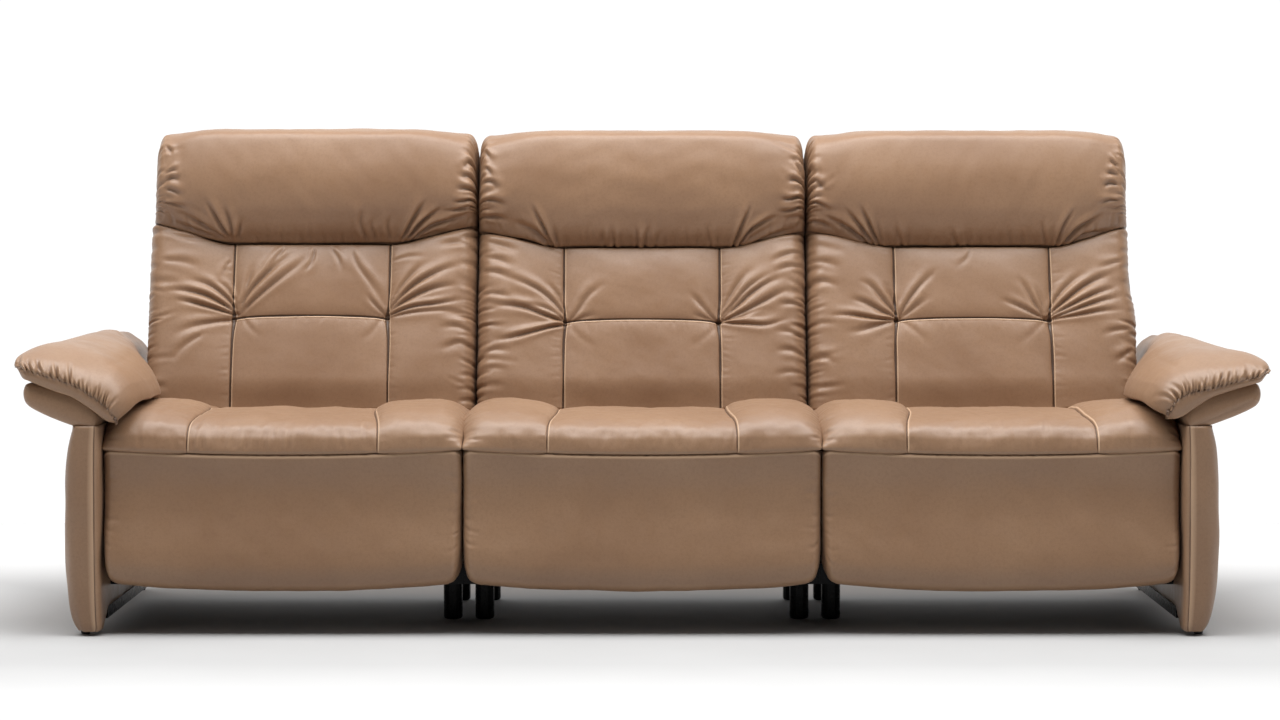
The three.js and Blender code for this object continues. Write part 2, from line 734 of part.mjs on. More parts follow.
function armAssembly(name, side) {
  const group = new THREE.Group();
  const glideRound = glide.radius / 4;
  const frontGlide = roundFoot(glide.radius, glideRound, arm.toe - touchGap);
  const rearGlide = roundFoot(glide.radius, glideRound, arm.bottom - touchGap);
  const x = side * (armInner + glide.inset);
  group.add(
    piece(`${name}_arm_panel`, armPanel(side), leatherSkin),
    piece(`${name}_arm_wing`, armWing(side), leatherSkin),
    piece(`${name}_arm_pad`, armPad(side), leatherSkin),
    piece(`${name}_arm_rail`, armRail(side), lacquer),
    piece(`${name}_front_glide`, frontGlide, plastic, x, arm.front + glide.frontInset),
    piece(`${name}_rear_glide`, rearGlide, plastic, x, arm.rear - glide.rearInset),
  );
  return group;
}

const sofa = new THREE.Group();
sofa.add(
  seatModule('left', -seatPitch),
  seatModule('middle', 0),
  seatModule('right', seatPitch),
  ...sharedLegs(),
  armAssembly('left', -1),
  armAssembly('right', 1),
);
sofa.updateMatrixWorld(true);

// The origin is the middle of the footprint, at floor level
const bounds = new THREE.Box3().setFromObject(sofa, true);
sofa.position.y = -(bounds.min.y + bounds.max.y) / 2;
sofa.updateMatrixWorld(true);

export default sofa;
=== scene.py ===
# Looks of a three-seat reclining sofa: tan leather cushions, black frame and legs, studio floor and light.
# Lengths are in metres in the frame's own axes: +Z up, the sofa faces -Y, X to the right.

import json
import math

import bmesh
import bpy
import numpy as np
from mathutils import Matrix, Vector


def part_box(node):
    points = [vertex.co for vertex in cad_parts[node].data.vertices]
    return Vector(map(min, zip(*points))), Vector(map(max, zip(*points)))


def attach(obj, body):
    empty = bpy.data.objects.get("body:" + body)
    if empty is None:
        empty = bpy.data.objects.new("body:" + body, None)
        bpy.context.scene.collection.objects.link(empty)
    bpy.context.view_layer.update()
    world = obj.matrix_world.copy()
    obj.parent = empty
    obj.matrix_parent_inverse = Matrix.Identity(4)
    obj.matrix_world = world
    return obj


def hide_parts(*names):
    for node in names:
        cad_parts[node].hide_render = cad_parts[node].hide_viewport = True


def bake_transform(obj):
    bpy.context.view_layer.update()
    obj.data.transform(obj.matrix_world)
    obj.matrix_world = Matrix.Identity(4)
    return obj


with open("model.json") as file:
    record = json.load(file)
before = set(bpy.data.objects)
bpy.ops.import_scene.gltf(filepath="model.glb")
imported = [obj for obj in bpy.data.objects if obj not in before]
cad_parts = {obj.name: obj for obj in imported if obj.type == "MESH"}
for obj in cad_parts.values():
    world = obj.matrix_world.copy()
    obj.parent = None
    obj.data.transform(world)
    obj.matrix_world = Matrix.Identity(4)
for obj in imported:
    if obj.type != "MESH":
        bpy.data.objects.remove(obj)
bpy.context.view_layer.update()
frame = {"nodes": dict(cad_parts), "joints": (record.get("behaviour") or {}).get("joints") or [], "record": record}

# The seats, the frame's joints by name, and how far the backs lean
SEATS = ("left", "middle", "right")
JOINTS = {joint["name"]: joint for joint in frame["joints"]}
LEAN = math.radians(18.5)

# Across each seat, from its middle: half widths of its cushions, where their sides are creased, and seams
HALF = 0.3493
REAR_HALF = 0.3498
SIDE_X = 0.350
SEAM_X = 0.165
SEAT_SEAM_X = 0.176
HEAD_FLAT_X = 0.185
# The seam between the seat and the leg rest's panel: its lowest height, and how far its ends lie above it
FRONT_SEAM_Z = 0.3515
FRONT_SEAM_ARCH = 0.0105

# Back cushion, in the back's own frame: height above the pivot and depth in front of the board
BOARD_Y = 0.0083
BACK_FOOT = 0.058
WAIST_Z = 0.245
WAIST_ARCH = 0.004
HEAD_SEAM_Z = 0.418
# How far the seam below each headrest lies above HEAD_SEAM_Z: in its flat middle, and more at its two ends
SEAM_RISE = {"left": (0.0035, 0.0575, 0.0485), "middle": (-0.0040, 0.0425, 0.0425),
             "right": (-0.0025, 0.0425, 0.0545)}

# Folds in the leather, on each seat: width and depth, then the places across and up of its points, all
# in millimetres
BACK_FOLDS = {
    "left": (
        (5, 5, -162, 253, -201, 264, -255, 279, -297, 287),
        (6, 5, -163, 258, -191, 278, -229, 298, -282, 309, -325, 308),
        (6, 4, -161, 267, -184, 296, -219, 322, -268, 336), (5, 2.5, -161, 286, -179, 314, -209, 336),
        (7, 3, -164, 241, -200, 235, -247, 224, -294, 206), (8, 2, -226, 209, -267, 182, -297, 143),
        (7, 2, -309, 441, -266, 430, -207, 425), (8, 2, -317, 380, -269, 374, -226, 358),
        (5, 1.5, -174, 380, -184, 358, -188, 325),
        (6, 5, -149, 261, -136, 294, -111, 330, -68, 374, -26, 405),
        (6, 3, -151, 269, -137, 314, -128, 352, -123, 380),
        (7, 4, -147, 256, -113, 291, -66, 336, -15, 380, 22, 407), (5, 3, 6, 407, -1, 374, -19, 347),
        (5, 2.5, 40, 407, 57, 380, 63, 347), (7, 2.5, 83, 405, 97, 369, 130, 319, 158, 264),
        (5, 2.5, 155, 256, 131, 280, 114, 308), (6, 2.5, -58, 408, -78, 380, -98, 341),
        (6, 5.5, 168, 264, 199, 303, 230, 330, 277, 355, 335, 377),
        (6, 4.5, 168, 257, 205, 286, 257, 311, 331, 327), (5, 5, 168, 252, 216, 268, 274, 276, 337, 291),
        (7, 2.5, 170, 247, 221, 256, 284, 260, 343, 252), (6, 3, 171, 278, 193, 319, 224, 358, 256, 380),
        (5, 1.5, 171, 380, 208, 388, 250, 386), (6, 2, 343, 215, 306, 225, 264, 220),
        (6, 2, 343, 187, 312, 193, 275, 176), (6, 2, 340, 413, 303, 419, 261, 408),
        (6, 0.9, -148, 247, -126, 220, -94, 198), (7, 0.9, 155, 245, 127, 209, 96, 193),
    ),
    "middle": (
        (6, 5.5, -163, 244, -204, 257, -252, 274, -305, 280, -339, 278),
        (5, 3, -163, 247, -194, 267, -226, 278, -263, 282),
        (5, 5.5, -162, 239, -194, 232, -241, 217, -283, 206, -330, 201),
        (6, 3.5, -164, 253, -186, 286, -221, 314, -269, 336, -316, 351),
        (5, 2, -163, 269, -181, 308, -210, 336), (7, 2.5, -333, 425, -296, 413, -253, 397),
        (7, 2.5, -338, 391, -301, 380, -269, 358), (7, 2.5, -338, 358, -301, 350, -269, 336),
        (6, 3, -342, 308, -305, 303, -268, 294), (7, 2, -340, 171, -309, 182, -272, 179),
        (7, 1.5, -345, 138, -314, 143, -277, 138), (7, 2.5, -156, 245, -136, 267, -110, 303, -67, 336),
        (6, 1.5, -154, 242, -120, 253, -83, 256), (6, 2.5, 161, 247, 139, 265, 112, 294, 91, 319),
        (6, 1.5, 160, 245, 128, 253, 96, 261), (6, 5.5, 168, 247, 197, 272, 229, 303, 271, 330, 319, 348),
        (6, 4.5, 168, 253, 197, 286, 224, 316, 261, 342, 298, 358),
        (6, 4.5, 169, 245, 213, 263, 255, 285, 298, 308, 335, 319),
        (5, 3.5, 170, 243, 218, 238, 265, 235, 318, 252), (5, 2.5, 170, 247, 207, 252, 244, 267, 276, 272),
        (6, 2.5, 169, 264, 192, 308, 219, 347, 245, 363), (6, 3, 341, 402, 304, 391, 267, 369),
        (6, 2.5, 341, 369, 304, 363, 272, 347), (6, 2.5, 342, 280, 313, 283, 281, 278),
        (6, 2.5, 341, 209, 312, 220, 275, 220), (7, 2, 341, 171, 312, 182, 275, 176),
        (7, 1.5, 337, 133, 306, 133, 269, 122), (8, 0.68, -152, 231, -125, 204, -88, 182),
        (8, 0.68, 157, 231, 128, 204, 91, 182),
    ),
    "right": (
        (5, 4.5, -165, 247, -203, 246, -255, 253, -313, 253),
        (6, 4, -165, 250, -194, 263, -231, 283, -270, 294),
        (6, 4, -163, 256, -190, 291, -217, 322, -249, 336), (6, 2.5, -162, 264, -172, 303, -190, 336),
        (7, 3, -165, 244, -198, 234, -240, 220, -282, 215), (7, 2, -343, 380, -306, 374, -275, 358),
        (7, 2, -344, 336, -307, 330, -275, 314), (7, 2, -346, 171, -315, 165, -284, 143),
        (6, 3.5, -158, 252, -141, 280, -108, 325, -65, 369), (7, 2, -155, 250, -118, 275, -80, 303),
        (6, 1.5, -3, 405, -9, 386, -36, 358), (6, 4, 152, 252, 132, 279, 112, 318, 92, 346),
        (6, 3, 152, 249, 117, 263, 81, 279, 47, 291), (6, 2, 154, 258, 139, 303, 122, 336),
        (6, 5.5, 159, 253, 194, 286, 233, 318, 276, 340, 324, 356),
        (5, 5, 159, 250, 205, 274, 258, 301, 328, 325), (5, 4.5, 160, 247, 209, 263, 268, 284, 332, 301),
        (5, 3.5, 160, 246, 214, 253, 278, 263, 331, 268), (6, 3, 160, 264, 184, 303, 217, 336, 250, 352),
        (7, 2, 329, 225, 297, 220, 260, 209), (7, 2.5, 333, 182, 310, 165, 290, 150),
        (6, 2.5, 328, 380, 293, 369, 261, 358), (8, 0.9, -150, 239, -122, 217, -83, 179),
        (8, 0.68, 150, 239, 118, 209, 80, 182),
    ),
}
# The same on the headrest, where the second number runs along the surface from its seam
HEAD_FOLDS = {
    "left": (
        (5, 5, -174, 37, -194, 61, -211, 86, -229, 110), (5, 3.5, -168, 37, -173, 68, -182, 88, -184, 104),
        (6, 3.5, -185, 36, -220, 49, -258, 61, -295, 70), (6, 2.5, -204, 35, -247, 38, -287, 41, -318, 45),
        (5, 2, -161, 35, -151, 60, -148, 78), (5, 4.5, 189, 31, 210, 60, 229, 85, 251, 113),
        (4, 6, 197, 27, 225, 54, 257, 73, 281, 89), (5, 5, 209, 26, 248, 46, 290, 52, 338, 58),
        (6, 3, 223, 29, 263, 31, 304, 21), (5, 2, 165, 35, 161, 60, 172, 83),
        (6, 2.5, 115, 35, 104, 68, 117, 102), (5, 2, 136, 35, 127, 60, 135, 78),
        (4, 3, -315, 163, -299, 165, -283, 160), (5, 3, -317, 149, -301, 151, -277, 144),
        (6, 3, -317, 132, -298, 126, -272, 110), (6, 2.5, -320, 91, -294, 89, -262, 78),
        (4, 2.5, -322, 214, -313, 207, -304, 192), (5, 3, 349, 192, 330, 182, 320, 163),
        (5, 3.5, 352, 163, 336, 160, 310, 154), (5, 3.5, 352, 144, 331, 135, 299, 132),
        (5, 3.5, 352, 115, 326, 103, 294, 96), (5, 3, 349, 85, 320, 78, 288, 73),
    ),
    "middle": (
        (4, 5.5, -181, 17, -204, 53, -225, 83, -242, 105), (6, 3.5, -187, 18, -215, 44, -252, 57, -285, 58),
        (6, 3, -195, 20, -237, 26, -285, 21, -319, 17), (5, 2, -177, 20, -184, 54, -189, 71),
        (5, 3, -57, 19, -61, 51, -63, 69), (6, 1.5, -76, 19, -83, 45, -89, 60),
        (4, 3, -10, 19, -10, 51, -17, 68), (5, 3, 7, 19, 10, 51, 18, 68), (6, 1.5, 28, 19, 33, 45, 41, 60),
        (5, 2, 148, 21, 140, 60, 142, 78), (4, 5, 191, 17, 206, 52, 224, 83, 237, 108),
        (4, 6, 200, 17, 225, 47, 257, 62, 295, 72), (5, 4.5, 210, 17, 253, 28, 299, 34, 339, 34),
        (6, 2.5, 225, 17, 263, 17, 306, 17), (4, 3, -336, 214, -325, 196, -317, 182),
        (4, 3, -335, 177, -324, 168, -316, 149), (5, 3, -337, 149, -316, 144, -300, 126),
        (6, 3, -337, 109, -311, 106, -284, 91), (6, 2.5, -335, 60, -306, 65, -280, 57),
        (5, 4, 343, 149, 324, 151, 303, 144), (5, 3.5, 340, 168, 330, 182, 317, 192),
        (5, 4, 343, 123, 319, 111, 287, 108), (5, 3.5, 343, 93, 319, 81, 282, 80),
    ),
    "right": (
        (4, 5.5, -190, 17, -216, 60, -233, 86, -245, 105), (4, 5, -195, 17, -231, 51, -258, 76, -275, 95),
        (5, 4.5, -202, 17, -252, 44, -300, 62, -328, 69), (6, 3, -211, 19, -256, 17, -298, 17),
        (5, 2.5, -187, 17, -198, 55, -201, 78), (5, 2.5, -144, 19, -158, 56, -163, 72),
        (5, 2.5, -25, 19, -41, 51, -48, 63), (5, 1.5, -6, 19, -9, 45, -5, 60),
        (5, 2.5, 159, 26, 150, 60, 152, 81), (4, 4.5, 179, 23, 192, 60, 211, 84, 222, 97),
        (5, 5, 190, 23, 220, 50, 256, 62, 292, 73), (5, 4, 202, 23, 243, 35, 286, 30, 326, 29),
        (4, 3.5, 321, 177, 306, 184, 298, 182), (4, 3.5, 322, 160, 305, 162, 288, 158),
        (5, 3.5, 321, 142, 299, 142, 275, 130), (5, 3, 324, 104, 296, 104, 264, 92),
        (5, 3, -349, 192, -338, 177, -331, 158), (5, 3, -349, 154, -328, 147, -307, 122),
        (5, 3, -349, 107, -323, 97, -296, 77), (6, 2.5, -345, 49, -316, 48, -289, 38),
    ),
}


def smooth(value, low, high):
    """A share that rises smoothly from 0 at low to 1 at high."""
    share = np.clip((value - low) / (high - low), 0, 1)
    return share * share * (3 - 2 * share)


def hill(distance, width):
    return np.exp(-((distance / width) ** 2))


def groove(distance, depth, width, valley, reach):
    """A sewn seam: a narrow slot in the middle of a soft valley."""
    away = np.abs(distance)
    return -depth * hill(away, width) - valley * np.exp(-away / reach)


def stations(start, end, step, seams=(), fine=0.0009, zone=0.0055):
    """Places from start to end, a step apart, closer together round each seam."""
    places = [start]
    while places[-1] < end - fine:
        gap = min((abs(places[-1] - seam) for seam in seams), default=1.0)
        places.append(places[-1] + fine + (step - fine) * float(smooth(gap, zone, 3 * zone)))
    places[-1] = end
    return np.array(places)


def rounded_stations(half, round_x, step, seams, count=12):
    """Stations across a cushion, with its rounded ends cut into equal angles."""
    turn = np.linspace(0, math.pi / 2, count)[1:]
    end = half - round_x + round_x * np.sin(turn)
    middle = stations(round_x - half, half - round_x, step, seams)
    return np.concatenate([-end[::-1], middle, end])


def end_share(x, half, round_x, power=2.0, least=0.06):
    """How much of its thickness a cushion keeps at x: all of it, until it rounds off at the ends."""
    past = np.clip((np.abs(x) - (half - round_x)) / round_x, 0, 1)
    return least + (1 - least) * (1 - past ** power) ** (1 / power)


def through(points, counts):
    """A smooth curve through points. counts holds the number of samples of each stretch between two."""
    padded = np.vstack([2 * points[0] - points[1], points, 2 * points[-1] - points[-2]])
    curve = []
    for i, count in enumerate(counts):
        p0, p1, p2, p3 = padded[i:i + 4]
        t = np.linspace(0, 1, count, endpoint=False)[:, None]
        curve.append(0.5 * (2 * p1 + (p2 - p0) * t + (2 * p0 - 5 * p1 + 4 * p2 - p3) * t * t
                            + (3 * p1 - p0 - 3 * p2 + p3) * t ** 3))
    curve.append(points[-1:])
    return np.vstack(curve)


def path(points, step=0.004):
    """A smooth curve through points, sampled about a step apart."""
    points = np.array(points, dtype=float)
    gaps = [float(np.linalg.norm(b - a)) for a, b in zip(points, points[1:])]
    return through(points, [max(2, round(gap / step)) for gap in gaps])


def even_path(points, per_step):
    """A smooth curve through points, with the same number of samples between each pair."""
    points = np.array(points, dtype=float)
    return through(points, [per_step] * (len(points) - 1))


def resample(curve, count):
    """The same curve with count points at equal distances."""
    run = np.concatenate([[0], np.cumsum(np.linalg.norm(np.diff(curve, axis=0), axis=1))])
    marks = np.linspace(0, run[-1], count)
    return np.stack([np.interp(marks, run, curve[:, i]) for i in range(curve.shape[1])], axis=1)


def crease(u, v, at, angle, length, width, depth, bend=0.0):
    """The height of one crease over a surface with coordinates u and v: a valley with a soft rim."""
    du, dv = u - at[0], v - at[1]
    along = (du * math.cos(angle) + dv * math.sin(angle)) / length
    across = dv * math.cos(angle) - du * math.sin(angle) - bend * length * along * along
    fade = smooth(along, 0.0, 0.12) * (1 - smooth(along, 0.35, 1.0))
    rim = 0.5 * hill(np.abs(across) - 1.9 * width, width)
    return depth * fade * (rim - hill(across, width))


def gathers(rng, u, v, start, end, angle, spacing, length, width, depth):
    """Short creases side by side along a line, all at about one angle in degrees."""
    start, end = np.array(start), np.array(end)
    count = max(2, int(np.linalg.norm(end - start) / spacing))
    total = np.zeros(np.broadcast(u, v).shape)
    for share in np.linspace(0, 1, count):
        at = start + (end - start) * np.clip(share + rng.uniform(-0.3, 0.3) / count, 0, 1)
        turned = math.radians(angle + rng.uniform(-12, 12))
        total += crease(u, v, at, turned, length * rng.uniform(0.5, 1.2), width * rng.uniform(0.7, 1.2),
                        depth * rng.uniform(0.4, 1.1), rng.uniform(-0.15, 0.15))
    return total


def add_gathers(height, rng, u, v, rows, turns=(-1, 1)):
    """Adds rows of gathers to height, on both sides or only on the side that turns gives.

    A row holds the ends of its line, then the creases' angle, spacing, length, width and depth.
    """
    for turn in turns:
        for row in rows:
            height += gathers(rng, u * turn, v, *row)


def unevenness(rng, u, v, height, wave, count=9):
    """Slow random waves, so that no stuffed surface is perfectly regular."""
    total = np.zeros(np.broadcast(u, v).shape)
    for _ in range(count):
        turn = rng.uniform(0, math.tau)
        pace = math.tau / (wave * rng.uniform(0.6, 1.8))
        total += np.sin(pace * (u * math.cos(turn) + v * math.sin(turn)) + rng.uniform(0, math.tau))
    return height * total / math.sqrt(count)


def grid_normals(points):
    """Unit normals of a grid of points, by its neighbours."""
    du = np.gradient(points, axis=0)
    dv = np.gradient(points, axis=1)
    normals = np.cross(du, dv)
    return normals / np.maximum(np.linalg.norm(normals, axis=2, keepdims=True), 1e-12)


def displaced(points, height, outward):
    """Moves a grid of points along its normals, turned to the outward side."""
    normals = grid_normals(points)
    side = np.sign(np.sum(normals * outward, axis=(0, 1, 2)))
    return points + normals * side * height[:, :, None]


def closed_mesh(name, rings, seam):
    """A closed body from rings of equal point count, capped at both ends, with seam as its points' paint: seam
    lines, painted highlights and painted shade.
    """
    count, around = rings.shape[:2]
    index = np.arange(count * around).reshape(count, around)
    following = np.roll(index, -1, axis=1)
    quads = np.stack([index[:-1], following[:-1], following[1:], index[1:]], axis=-1).reshape(-1, 4)
    faces = quads.tolist() + [index[0].tolist(), index[-1].tolist()]
    mesh = bpy.data.meshes.new(name)
    mesh.from_pydata(rings.reshape(-1, 3).tolist(), [], faces)
    layer = mesh.attributes.new("seam", "FLOAT", "POINT")
    layer.data.foreach_set("value", seam.reshape(-1).astype(np.float32))
    solid = bmesh.new()
    solid.from_mesh(mesh)
    bmesh.ops.recalc_face_normals(solid, faces=solid.faces)
    solid.to_mesh(mesh)
    solid.free()
    mesh.shade_smooth()
    piece = bpy.data.objects.new(name, mesh)
    bpy.context.scene.collection.objects.link(piece)
    return piece


def rounded(share):
    """A fullness from 0 at a seam to 1 well inside a panel, steep at the seam."""
    return (1 - (1 - np.clip(share, 0, 1)) ** 2.3) ** 0.62


def stitched(distance, depth=0.0020, valley=0.0016, reach=0.007):
    """A flat sewn seam: a hairline slot in a shallow valley, with a rolled edge on one side."""
    away = np.abs(distance)
    return (-depth * hill(away, 0.0011) - valley * np.exp(-away / reach)
            + 0.0008 * hill(distance - 0.0032, 0.0015))


def stitch_mark(distance):
    """The seam's paint: above 0 for its dark line, below 0 for a painted highlight on the rolled edge beside it.
    """
    return hill(distance, 0.0009) - 0.80 * hill(distance - 0.0030, 0.0012)


def folds(u, v, table, strength):
    """The height of the folds in a table: each a width, a depth and a curve's places, in millimetres.

    A fold is a sharp valley with a soft ridge above it, widest and shallowest at its far end.
    """
    flat_u, flat_v = u.ravel(), v.ravel()
    total = np.zeros(flat_u.shape)
    for width, depth, *places in table:
        curve = resample(path(np.array(places).reshape(-1, 2) / 1000), 30)
        reach = 0.009 * width
        near = ((flat_u > curve[:, 0].min() - reach) & (flat_u < curve[:, 0].max() + reach)
                & (flat_v > curve[:, 1].min() - reach) & (flat_v < curve[:, 1].max() + reach))
        pu, pv = flat_u[near], flat_v[near]
        gaps = (pu[:, None] - curve[None, :, 0]) ** 2 + (pv[:, None] - curve[None, :, 1]) ** 2
        closest = gaps.argmin(axis=1)
        run = np.gradient(curve, axis=0)
        run /= np.linalg.norm(run, axis=1, keepdims=True)
        du, dv = pu - curve[closest, 0], pv - curve[closest, 1]
        across = run[closest, 0] * dv - run[closest, 1] * du
        beyond = np.sqrt(np.maximum(du * du + dv * dv - across * across, 0))
        if curve[-1, 0] < curve[0, 0]:
            across = -across
        along = closest / (len(curve) - 1)
        w = 0.001 * width * (0.46 + 0.62 * along)
        fade = (0.35 + 0.65 * smooth(along, 0, 0.12)) * (1 - smooth(along, 0.45, 1.0)) * hill(beyond, 0.006)
        ridge, lip = hill(across - 2.3 * w, 1.9 * w), hill(across + 2.4 * w, 1.9 * w)
        shape = -hill(across, w) + 0.70 * ridge + 0.30 * lip
        total[near] += 0.001 * strength * depth * fade * shape
    return total.reshape(u.shape)


def leaned(side):
    """Turns points in the back's own frame, at its pivot, into the row frame."""
    pivot = Vector(JOINTS[f"{side}_back_recline"]["pos_m"])

    def place(points):
        y, z = points[..., 1], points[..., 2]
        turned_y = pivot.y + y * math.cos(LEAN) + z * math.sin(LEAN)
        turned_z = pivot.z + z * math.cos(LEAN) - y * math.sin(LEAN)
        return np.stack([points[..., 0] + pivot.x, turned_y, turned_z], axis=-1)

    return place


def shifted(side):
    centre = JOINTS[f"{side}_back_recline"]["pos_m"][0]
    return lambda points: points + np.array([centre, 0, 0])


def soft_piece(piece, slot, body, node):
    piece.data.materials.append(LOOKS[slot])
    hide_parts(node)
    if body:
        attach(piece, body)
    return piece


def head_seam_rise(side, x):
    """How far the seam below the headrest climbs towards the sides."""
    middle, left_end, right_end = SEAM_RISE[side]
    early, knee = 0.012, 0.12
    share = np.clip((np.abs(x) - HEAD_FLAT_X + early) / (HALF - HEAD_FLAT_X + early), 0, 1)
    return middle + np.where(x < 0, left_end, right_end) * (share - knee * (1 - np.exp(-share / knee)))


def drawn_in(side, u, amount):
    """Places across an outer seat's back, with its outer end drawn in by amount."""
    outer = {"left": -1, "middle": 0, "right": 1}[side]
    return u - outer * amount * smooth(u * outer, 0.24, HALF)


def back_cushion(side, rng):
    """Two side panels and two stacked centre panels, sewn to a point on each side at the waist."""
    round_x, step = 0.044, 0.0034
    u = rounded_stations(HALF, round_x, step, (-SEAM_X, SEAM_X), 18)
    v = stations(BACK_FOOT, HEAD_SEAM_Z, step, (WAIST_Z, HEAD_SEAM_Z))
    U, V = np.meshgrid(u, v, indexing="ij")
    inside = np.clip(1 - (U / SEAM_X) ** 2, 0, 1)
    X = U - np.sign(U) * 0.003 * hill(V - WAIST_Z, 0.03) * hill(np.abs(U) - SEAM_X, 0.06)
    narrow = {"left": 0.0, "middle": 0.0, "right": 0.0085}[side]
    X = drawn_in(side, X, narrow * smooth(V, 0.27, 0.34))
    waist_rise = {"left": 0.009, "middle": 0.001, "right": 0.004}[side] + WAIST_ARCH * inside
    climb = head_seam_rise(side, U) * smooth(V, 0.29, HEAD_SEAM_Z)
    Z = V + waist_rise * hill(V - WAIST_Z, 0.07) + climb

    # Fullness of the four panels
    from_seam = np.abs(U) - SEAM_X
    top_share, low_share = (HEAD_SEAM_Z - V) / 0.075, (V - WAIST_Z) / 0.050
    upper = rounded(top_share) * (0.63 + 0.37 * rounded(low_share)) + 0.20 * hill(V - 0.332, 0.055)
    lower = (0.78 + 0.22 * rounded((WAIST_Z - V) / 0.055)) * smooth(V, BACK_FOOT - 0.05, BACK_FOOT + 0.06)
    centre_full = rounded(-from_seam / 0.10) * np.where(V > WAIST_Z, upper, lower)
    side_full = rounded(from_seam / 0.11) * (0.25 + 0.75 * rounded(top_share * 0.8))
    side_full = side_full * (1 - 0.30 * hill(V - WAIST_Z, 0.05) * hill(from_seam, 0.09))
    side_full = 0.0165 * side_full - 0.007 * smooth(from_seam, 0.10, 0.185)
    depth = 0.0700 + np.where(np.abs(U) < SEAM_X, 0.0115 * centre_full, side_full)
    depth -= 0.009 * (1 - smooth(V, 0.050, 0.125))

    # Sewn lines: the vertical seams, and the waist seam between them
    in_centre = smooth(SEAM_X + 0.004 - np.abs(U), 0, 0.006)
    rise = V - WAIST_Z
    vertical, waist = stitched(U - SEAM_X) + stitched(U + SEAM_X), stitched(-rise) * in_centre
    pinch = 0.0065 * np.exp(-np.hypot(from_seam, rise) / 0.020)
    tuck = (0.007 - 0.004 * smooth(np.abs(U), HEAD_FLAT_X, 0.24)) * hill(HEAD_SEAM_Z - V, 0.004)
    height = vertical + waist - pinch - tuck
    # Seam paint: dark lines on the seams, each with a painted highlight beside it
    seam = stitch_mark(U - SEAM_X) + stitch_mark(U + SEAM_X) + stitch_mark(-rise) * in_centre
    seam = seam + 0.6 * hill(rise - 0.0004, 0.0017) * in_centre

    # Folds seen on this seat, then the small gathers along its seams and sides
    height += folds(U, V + climb, BACK_FOLDS[side], 1.25)
    beside, below = SEAM_X + 0.003, WAIST_Z - 0.003
    add_gathers(height, rng, U, V, (
        ((SIDE_X, 0.08), (SIDE_X, 0.40), 180, 0.023, 0.045, 0.0036, 0.0026),
        ((SIDE_X, 0.10), (SIDE_X, 0.40), 176, 0.060, 0.090, 0.0060, 0.0022),
        ((beside, 0.30), (beside, 0.40), 10, 0.020, 0.030, 0.0032, 0.0005),
        ((beside, 0.08), (beside, 0.21), -8, 0.018, 0.032, 0.0032, 0.0005)))
    height += gathers(rng, U, V, (-0.15, below), (0.15, below), -88, 0.026, 0.028, 0.0036, 0.0007) * in_centre
    height += unevenness(rng, U, V, 0.0008, 0.12) + unevenness(rng, U, V, 0.0001, 0.035)

    front = np.stack([-BOARD_Y - depth, Z], axis=2)
    foot = np.stack([np.full_like(Z, -BOARD_Y), BACK_FOOT + (Z - BACK_FOOT) * 0.995], axis=2)
    share = end_share(u, HALF, round_x, 2.8)
    return grid_slab(f"{side}_back_cushion_cover", X, front, foot, share, height, seam, leaned(side))


def grid_slab(name, X, front, foot, share, height, seam, place, foot_count=8):
    """A cushion lofted across X. front and foot are grids of (depth, height) pairs, one row for each station.

    The front is drawn towards the foot by share at the rounded ends, and moved by height along its normals.
    """
    pulled = foot + (front - foot) * share[:, None, None]
    points = np.concatenate([X[:, :, None], pulled], axis=2)
    outward = np.concatenate([np.zeros(X.shape + (1,)), front - foot], axis=2)
    keep = smooth(share, 0.05, 0.6)[:, None]
    points = displaced(points, height * keep, outward)
    picks = np.linspace(0, front.shape[1] - 1, foot_count).round().astype(int)[::-1]
    back = np.concatenate([X[:, picks, None], foot[:, picks]], axis=2)
    rings = place(np.concatenate([points, back], axis=1))
    marks = np.concatenate([seam * keep, np.zeros((len(X), foot_count))], axis=1)
    return closed_mesh(name, rings, marks)


def lofted(u, front, foot, count):
    """Grids of (depth, height) pairs, the same at each station of u, along a front and a foot curve."""
    size = (len(u), count, 2)
    return [np.broadcast_to(resample(path(curve), count), size).copy() for curve in (front, foot)]


def blended_paths(centre, end, share, count):
    """Rows of a path that turns from the centre's curve into the end's by share."""
    a, b = resample(path(centre), count), resample(path(end), count)
    return a[None] + (b - a)[None] * share[:, None, None]


